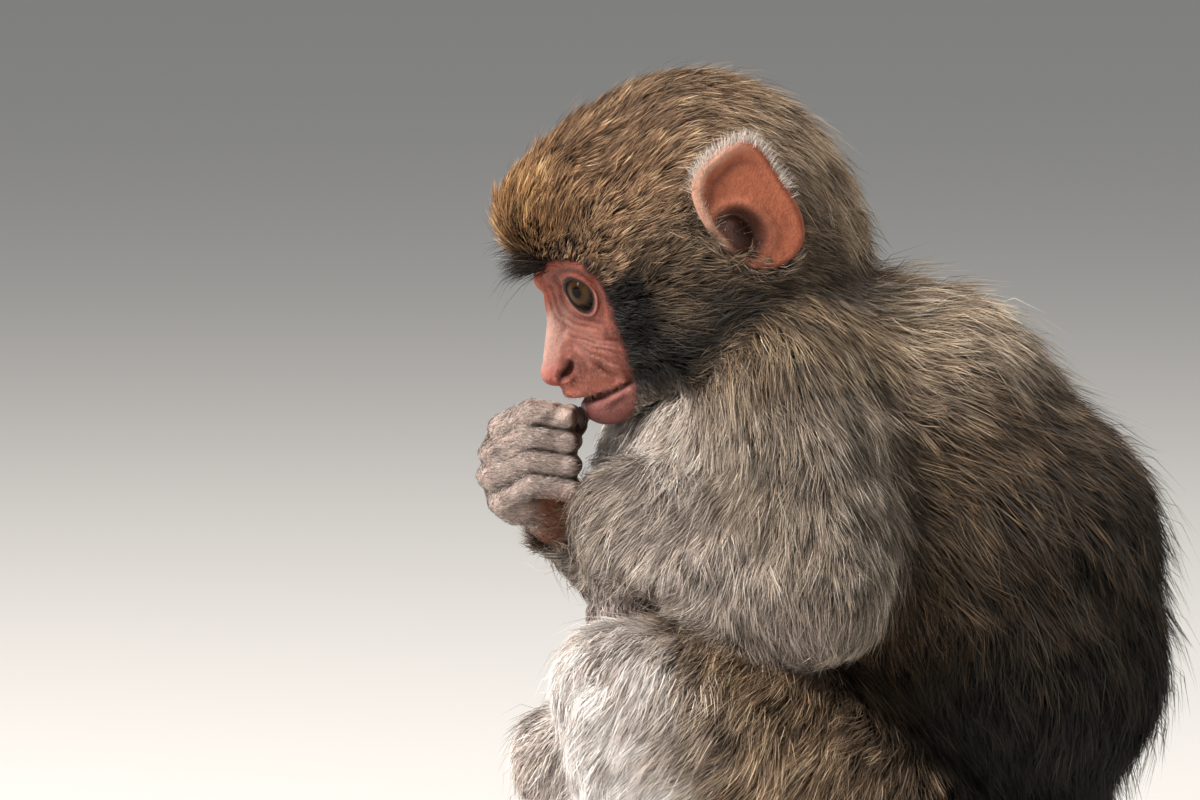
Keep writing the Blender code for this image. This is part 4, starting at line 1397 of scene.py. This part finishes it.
    # painted shadow in the grooves between the curled fingers
    paint(shareOf(owners, "hand_right") * fields["cavity"], "shadowBetweenFingers")
    for name in ("foot_left", "foot_right"):
        paint(shareOf(owners, name) * ramp(-0.3, -0.8, normals[:, 2]), "sole")
    return np.clip(tones, 0, 1)


eyeShades = {
    "white": "#8A6E5C",  # brown-tinged
    "outerRim": "#1A110E",
    "rim": "#0A0605",
    "irisEdge": "#1E150C",
    "iris": "#4A331A",
    "fibres": "#2A1C0C",
    "irisMiddle": "#1C120A",
    "pupil": "#000000",
    "lidShadow": "#0C0806",
}


def eyeball(side):
    centre = fromHead(np.array(eyes["place"]) * (1, side, 1))
    gaze = Vector(lookAlong(eyes["gazeLeft" if side > 0 else "gazeRight"], side) @ headAxes)
    bm = bmesh.new()
    segments = eyes["segments"]
    bmesh.ops.create_uvsphere(bm, u_segments=segments, v_segments=segments, radius=eyes["radius"])
    for vert in bm.verts:
        d = vert.co.normalized()
        c = d.z  # the pole looks along the gaze
        k = eyes["corneaForward"]
        inside = eyes["corneaRadius"] ** 2 - k ** 2 * (1 - c * c)
        reach = k * c + math.sqrt(inside) if inside > 0 and c > 0 else 0
        vert.co = d * max(eyes["radius"], reach)
    for _ in range(2):
        bmesh.ops.smooth_vert(bm, verts=bm.verts, factor=0.4,
                              use_axis_x=True, use_axis_y=True, use_axis_z=True)
    mesh = meshOut(bm, bpy.data.meshes.new("eye"))
    local = np.array([v.co for v in mesh.vertices])
    angle = np.degrees(np.arccos(np.clip(unit(local)[:, 2], -1, 1)))
    around = np.arctan2(local[:, 1], local[:, 0])
    fibre = np.sin(around * 31) * 0.5 + np.sin(around * 53 + 1.3) * 0.5
    tones = np.tile(linear(eyeShades["white"]), (len(local), 1))

    def paint(mask, name):
        nonlocal tones
        tones = tones * (1 - mask[:, None]) + np.array(linear(eyeShades[name])) * mask[:, None]

    paint(ramp(62, 46, angle), "outerRim")
    paint(ramp(46, 38, angle), "rim")
    paint(ramp(34.5, 29, angle), "irisEdge")
    paint(ramp(30, 20, angle), "iris")
    paint(ramp(30, 14, angle) * (0.35 + 0.35 * fibre), "fibres")
    paint(ramp(17, 11, angle) * 0.6, "irisMiddle")
    paint(ramp(11.0, 9.8, angle), "pupil")
    # painted shadow of the upper lid across the top of the iris
    paint(ramp(0.05, 0.45, local[:, 1] / eyes["radius"]) * ramp(44, 34, angle) * 0.6, "lidShadow")
    storeTones(mesh, "eyeTone", tones)
    turn = gaze.to_track_quat("Z", "Y").to_matrix().to_4x4()
    mesh.transform(Matrix.Scale(0.001, 4) @ Matrix.Translation(Vector(centre)) @ turn)
    shadeSmooth(mesh)
    return newObject("eyeLeft" if side > 0 else "eyeRight", mesh)


def nail(tip, along, up, size):
    # a curved plate over the end of a finger or toe
    along, up = unit(along), np.asarray(up, float)
    up = unit(up - (up @ along) * along)
    bm = bmesh.new()
    bmesh.ops.create_uvsphere(bm, u_segments=16, v_segments=10, radius=1.0)
    bmesh.ops.bisect_plane(bm, geom=bm.verts[:] + bm.edges[:] + bm.faces[:], plane_co=(0, 0, 0.25),
                           plane_no=(0, 0, -1), clear_outer=True)
    turn = Matrix((along.tolist(), np.cross(up, along).tolist(), up.tolist())).transposed().to_4x4()
    stretch = Matrix.Diagonal((size * 1.25, size * 0.85, size * 0.75, 1))
    bmesh.ops.transform(bm, matrix=Matrix.Translation(Vector(tip)) @ turn @ stretch, verts=bm.verts)
    bmesh.ops.holes_fill(bm, edges=[e for e in bm.edges if e.is_boundary], sides=0)
    return bm


def buildNails():
    shapes = []
    for side in ("Left", "Right"):
        for _, middle, tip, radii in footToes(side)[1]:
            heading = unit(tip - middle)
            shapes.append(nail(tip + heading * 0.9 + (0, 0, 0.7), heading, (0, 0, 1), radii[2] * 0.86))
    for _, middle, tip in openFingers():
        heading = unit(tip - middle)
        shapes.append(nail(tip + heading * 0.8, heading, (0, -1, -0.2), 2.5))
    shapes.append(nail((11.5, -54.2, 167.5), (0.1, -0.1, 1), (0.45, 1, 0), 2.7))  # the index, at the lips
    made = joinShapes("nails", shapes)
    made.data.transform(Matrix.Scale(0.001, 4))
    shadeSmooth(made.data)
    return made


# hairs to a square mm, length and width in mm, shade at root and tip, sag, and how far they stray
longHairs = {
    "brow": (4.0, 10.5, 0.16, "black", (0, 0, -0.25), 0.28),
    "browRaised": (2.6, 8.0, 0.16, "brown", (0, 0, 0), 0.30),
    "browSide": (0.7, 4.0, 0.10, "brown", (0, 0, 0), 0.35),
    "browWhiskers": (0.11, 19.0, 0.13, "black", (0, 0.1, -1.1), 0.25),
    "browPale": (0.03, 14.0, 0.13, "white", (0, 0, -0.1), 0.10),
    "lip": (0.35, 2.2, 0.06, "rose", (0, 0, -0.3), 0.35),
    "muzzle": (1.5, 1.4, 0.055, "paleRose", (0, 0, -0.2), 0.3),
    "earTop": (4.0, 4.0, 0.15, "white", (0, 0.15, -0.1), 0.30),
    "earFront": (3.0, 2.0, 0.14, "cream", (0, 0, 0), 0.3),
    "beforeEar": (0.3, 8.0, 0.09, "sand", (0, 0, -0.1), 0.15),
    "cheekEdge": (2.6, 3.0, 0.14, "black", (0, 0, 0), 0.45),
    "lash": (1.8, 2.6, 0.11, "black", (0, 0, 0.2), 0.2),
}
longHairShades = {
    "black": ("#0A0908", "#1A1613"),
    "brown": ("#17120E", "#6A5848"),
    "white": ("#CFC0B4", "#FBF6F0"),
    "rose": ("#A08074", "#CDB6AA"),
    "paleRose": ("#C8A496", "#F0DCD2"),
    "cream": ("#D8C0B0", "#F4E8DE"),
    "sand": ("#8A7462", "#C8B4A0"),
}


def sprout(skin, fields, name, mask, heading):
    # single hairs from one part of the skin, as rows of points with their widths and colours
    density, length, width, shade, sag, jitter = longHairs[name]
    spots = Roots(skin, fields, density * mask)
    n = spots.count
    normal = unit(spots.at["normal"])
    aim = unit(heading(spots.at["point"], normal) + chance.normal(0, jitter, (n, 3)))
    long = length * chance.uniform(0.55, 1.25, n)
    rows = [spots.at["point"] - normal * 0.3]
    for _ in range(3):
        aim = unit(aim + np.array(sag) / 3)
        rows.append(rows[-1] + aim * (long / 3)[:, None])
    rows = np.array(rows)
    rows[:, :, 2] = np.maximum(rows[:, :, 2], 0.2)
    across = unit(np.cross(aim, chance.normal(size=(n, 3))))
    widths = np.array([width * t * np.ones(n) for t in (1, 0.85, 0.55, 0)])
    deep, end = (np.array(linear(c)) for c in longHairShades[shade])
    mix = np.linspace(0, 1, 4)[:, None, None]
    tones = (deep * (1 - mix) + end * mix) * chance.uniform(0.7, 1.2, (1, n, 1))
    return rows, widths, across, tones, spots.uv


def singleHairs(skin, fields, q):
    f, side, u = q[:, 0], np.abs(q[:, 1]), q[:, 2]
    bare = fields["bare"]
    edge = faceEdgeAt(u)
    brow = ramp(20, 22, u) * ramp(29, 26, u) * ramp(29, 33, f) * ramp(13, 8, side)
    browSide = bare * ramp(15.5, 18, u) * ramp(7, 10, side)
    line = mouthAt(q[:, [0, 2]])[1]
    lip = bare * bump(u - line - 1.6, 0.8) * ramp(34, 37, f)
    muzzle = bare * ramp(-7.5, -9.5, u) * ramp(-1.0, 0.5, u - line) * ramp(34, 38, f)
    ears = ramp(0.3, 0.6, shareOf(fields["owners"], "ear_left", "ear_right")) * ramp(33, 37, side)
    middleForward, _, middleUp = ear["middle"]
    _, up, angle, ring = onEar(q)
    angle = np.degrees(angle)
    topRim = ears * ramp(0.84, 0.95, ring) * ramp(-45, -15, angle) * ramp(115, 70, angle)
    frontRim = ears * ramp(0.80, 0.92, ring) * ramp(-130, -100, angle) * ramp(-20, -45, angle)
    before = ramp(33, 36, side) * bump(f - middleForward - 12, 2.5) * bump(up, 7)

    def along(forward, outward, upward, normalShare=0.0):
        # a heading in the head's directions, mirrored on its other side
        def heading(points, normal):
            local = toHead(points)
            aim = np.stack([np.full(len(points), forward), outward * np.sign(local[:, 1]),
                            np.full(len(points), upward)], 1)
            return unit(aim) @ headAxes + normal * normalShare
        return heading

    def offEar(points, normal):
        local = toHead(points)
        outward = 0.3 * np.sign(local[:, 1]) * 8
        away = np.stack([local[:, 0] - middleForward, outward, local[:, 2] - middleUp], 1)
        return unit(unit(away) + (-0.5, 0, 0.25)) @ headAxes

    cheekEdge = bare * bump(f - edge - 1.0, 1.2) * ramp(16, 11, u) * ramp(-24, -20, u)
    sets = [
        sprout(skin, fields, "brow", brow, along(0.80, 0.15, 0.45, 0.3)),
        sprout(skin, fields, "browRaised", brow, along(0.62, 0.20, 0.80, 0.5)),
        sprout(skin, fields, "browSide", browSide, along(-0.2, 0.3, 0.9, 0.4)),
        sprout(skin, fields, "browWhiskers", brow, along(0.75, 0.10, 0.45, 0.3)),
        sprout(skin, fields, "browPale", brow, along(0.64, 0.10, 0.60, 0.2)),
        sprout(skin, fields, "lip", lip, along(0.30, 0.25, -0.80, 0.5)),
        sprout(skin, fields, "muzzle", muzzle, along(-0.2, 0.2, -0.70, 0.5)),
        sprout(skin, fields, "earTop", topRim, offEar),
        sprout(skin, fields, "earFront", frontRim, along(-0.5, 0.2, 0.8, 0.4)),
        sprout(skin, fields, "beforeEar", before, along(-1.0, 0.35, -0.1, 0.2)),
        sprout(skin, fields, "cheekEdge", cheekEdge, along(-0.7, 0.3, -0.5, 0.3)),
    ]
    for s in (1, -1):
        radius, turned, turn = openingAngles(q, s)
        gap = turned - lidLine(turn)
        lash = bare * ramp(14, 11, radius) * bump(gap - 2.5, 1.6) * ramp(0.0, 0.5, np.sin(turn))
        sets.append(sprout(skin, fields, "lash", lash, along(0.6, 0.5, 0.1, 0.6)))
    rows, widths, across, tones, uv = zip(*sets)
    rows, widths, tones = (np.concatenate(values, 1) for values in (rows, widths, tones))
    made = strandMesh("singleHairs", rows, widths, np.concatenate(across), tones, np.concatenate(uv))
    print("single hairs", len(made.data.vertices) // 7)
    return made


def buildSkinFields(skin):
    surface = Surface(skin)
    normals = surface.normals()
    q = toHead(surface.points)
    # hollows between fingers, toes and folds
    smooth = surface.spread(surface.points, 10)
    cavity = surface.spread(ramp(0.05, 0.5, ((smooth - surface.points) * normals).sum(1))[:, None], 2)[:, 0]
    owners = surface.spread(np.eye(len(nodeNames))[nearestNode(surface.points)], 3)
    hollow = fistHollow(surface.points) * shareOf(owners, "hand_right")
    cavity = np.maximum(cavity, hollow * ramp(0.3, 0.7, normals[:, 0]))
    headed = ramp(64, 54, np.linalg.norm(q, axis=1))
    bare = bareFace(q) * headed
    table = owners @ coatTable
    side = np.abs(q[:, 1])
    edge = faceEdgeAt(q[:, 2])
    nearEdge = np.where(headed > 0.5, ramp(0, -9, q[:, 0] - edge), 1.0)
    nearEdge = np.where((q[:, 2] > 20) | (side > 27), 1.0, nearEdge)
    overEye = headed * ramp(6, 12, side) * ramp(27, 22, side) * ramp(30, 25, q[:, 2]) * ramp(18, 24, q[:, 0])
    nearEdge = nearEdge * (1 - 0.7 * overEye)
    length = table[:, 1] * (0.42 + 0.58 * nearEdge)
    depth = table[:, 0] * (0.35 + 0.65 * nearEdge)
    whiskers = headed * bump(q[:, 0] - 10, 14) * ramp(14, 24, side) * ramp(2, -10, q[:, 2])
    length = length + 6 * whiskers
    depth = depth + 1.5 * whiskers
    length = length + 4 * headed * ramp(-15, -35, q[:, 0])
    depth = depth + 3.0 * headed * ramp(20, 27, q[:, 2]) * ramp(22, 34, q[:, 0]) * ramp(20, 10, side)
    hand = shareOf(owners, "hand_right")
    density = table[:, 3] * np.clip(1 - bare, 0, 1)
    density = density * ramp(0.5, 3.0, surface.points[:, 2])  # none where it rests
    density = density * (1 - 0.85 * hand * cavity)
    trunk = shareOf(owners, "neck", "chest", "belly", "pelvis")
    fields = {
        "point": surface.points, "normal": normals,
        "flow": surface.spread(hairFlow(surface.points, normals, q, owners), 2),
        "hair": hairColourField(surface.points, q, owners, cavity),
        "length": length, "depth": depth, "width": table[:, 2], "clump": table[:, 4], "density": density,
        "owners": owners, "bare": bare, "cavity": cavity,
        "loose": 0.6 + 2.2 * trunk + 1.8 * headed * ramp(-14, -34, q[:, 0]),
    }
    return surface, fields, q


skin = buildSkin()
refineFace(skin)
surface = Surface(skin)
surface.ease(3)
surface.points[:, 2] = np.maximum(surface.points[:, 2], growing["overFloor"])  # it rests on the floor
sculptFace(surface)
print("face sculpted")
thinOut(skin)
unwrap(skin)
surface, fields, q = buildSkinFields(skin)
storeTones(skin.data, "skinTone", skinTones(q, fields))
print("skin finished", len(skin.data.polygons), "faces")

regions = {
    "coatCrown": ("head",),
    "coatFace": ("jaw", "ear_left", "ear_right", "hand_right"),
    "coatNeck": ("neck", "tail"),
    "coatChest": ("chest",),
    "coatBelly": ("belly",),
    "coatPelvis": ("pelvis",),
    "coatArmLeft": ("upper_arm_left", "forearm_left"),
    "coatArmRight": ("upper_arm_right", "forearm_right"),
    "coatLegLeft": ("thigh_left", "shank_left"),
    "coatLegRight": ("thigh_right", "shank_right"),
    "coatFeet": ("hand_left", "foot_left", "foot_right"),
}
owners, facing = fields["owners"], fields["normal"]
hairSkin = fields["density"].copy()  # none on the ears, the palm and the soles
for name in ("ear_left", "ear_right"):
    hairSkin *= 1 - shareOf(owners, name)
hairSkin *= 1 - shareOf(owners, "hand_right") * ramp(0.1, 0.6, facing[:, 1])
for name in ("foot_left", "foot_right"):
    hairSkin *= 1 - shareOf(owners, name) * ramp(0.1, -0.3, facing[:, 2])
polygons = [tuple(p.vertices) for p in skin.data.polygons]
tree = BVHTree.FromPolygons(surface.points.tolist(), polygons)
roots = Roots(skin, fields, hairSkin)
dominant = roots.at["owners"].argmax(1)
grown = growCoat(roots, tree)
behindEars = toHead(roots.at["point"])[:, 0] < -6
pieces = []
for name, nodes in regions.items():
    mask = np.isin(dominant, [nodeNames.index(n) for n in nodes])
    if name == "coatCrown":
        pieces.append(pieceOf("coatNape", grown, roots.uv, mask & behindEars))
        mask &= ~behindEars
    pieces.append(pieceOf(name, grown, roots.uv, mask))
pieces.append(singleHairs(skin, fields, q))
hair = hairMaterial()
for piece in pieces:
    piece.data.materials.append(hair)
    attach(piece, "root")

skin.data.materials.clear()
skin.data.materials.append(skinMaterial())
skin.data.transform(Matrix.Scale(0.001, 4))
shadeSmooth(skin.data)
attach(skin, "root")
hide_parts(*nodeNames)

glass = eyeMaterial()
for side, node in ((1, "eye_left"), (-1, "eye_right")):
    ballEye = eyeball(side)
    ballEye.data.materials.append(glass)
    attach(ballEye, "root")
    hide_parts(node)
nails = buildNails()
nails.data.materials.clear()
nails.data.materials.append(nailMaterial())
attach(nails, "root")
print("eyes and nails made")

stage = {
    "floor": "#E6E4E0",
    "floorHalf": 30,
    "world": "#E6E8EA",
    "worldStrength": 0.32,
    "aim": (0, -0.02, 0.15),  # the model's middle
    # each lamp's place and size in metres, watts and colour
    "key": ((0.66, -1.46, 1.52), 0.7, 58, "#FFF4E8"),
    "fill": ((0.75, -2.0, 0.85), 0.5, 10, "#E0EAFF"),
    "back": ((-0.35, 0.6, 1.9), 1.0, 20, "#FFFFFF"),
}
camera = {
    "target": (0.0026, -0.04815, 0.1717),
    "azimuth": 90.0,
    "elevation": 5.0,
    "distance": 2.2,
    "width": 0.342,  # what the frame takes in at the target
    "sensor": 36,
}

bm = bmesh.new()
bmesh.ops.create_grid(bm, x_segments=2, y_segments=2, size=stage["floorHalf"])
floor = newObject("floor", meshOut(bm, bpy.data.meshes.new("floor")))
floorFinish = {"Base Color": (*linear(stage["floor"]), 1), "Roughness": 0.6}  # smooth matt paint
floor.data.materials.append(newMaterial("paintedFloor", floorFinish)[0])

world = bpy.data.worlds.new("studio")
world.use_nodes = True
sky = world.node_tree.nodes["Background"].inputs
sky["Color"].default_value = (*linear(stage["world"]), 1)
sky["Strength"].default_value = stage["worldStrength"]
bpy.context.scene.world = world
bpy.context.scene.view_settings.view_transform = "Standard"


def softLight(name, place, size, watts, colour):
    data = bpy.data.lights.new(name, "AREA")
    data.shape, data.size, data.energy, data.color = "DISK", size, watts, linear(colour)
    lamp = newObject(name, data)
    lamp.location = place
    lamp.rotation_euler = (Vector(stage["aim"]) - Vector(place)).to_track_quat("-Z", "Y").to_euler()


for name in ("key", "fill", "back"):
    softLight(name, *stage[name])

lens = bpy.data.cameras.new("camera")
lens.sensor_width = camera["sensor"]
lens.lens = camera["sensor"] * camera["distance"] / camera["width"]
lens.clip_start, lens.clip_end = 0.05, 200
view = newObject("camera", lens)
a, e = math.radians(camera["azimuth"]), math.radians(camera["elevation"])
away = Vector((math.sin(a) * math.cos(e), -math.cos(a) * math.cos(e), math.sin(e)))
view.location = Vector(camera["target"]) + away * camera["distance"]
view.rotation_euler = (-away).to_track_quat("-Z", "Y").to_euler()
bpy.context.scene.camera = view
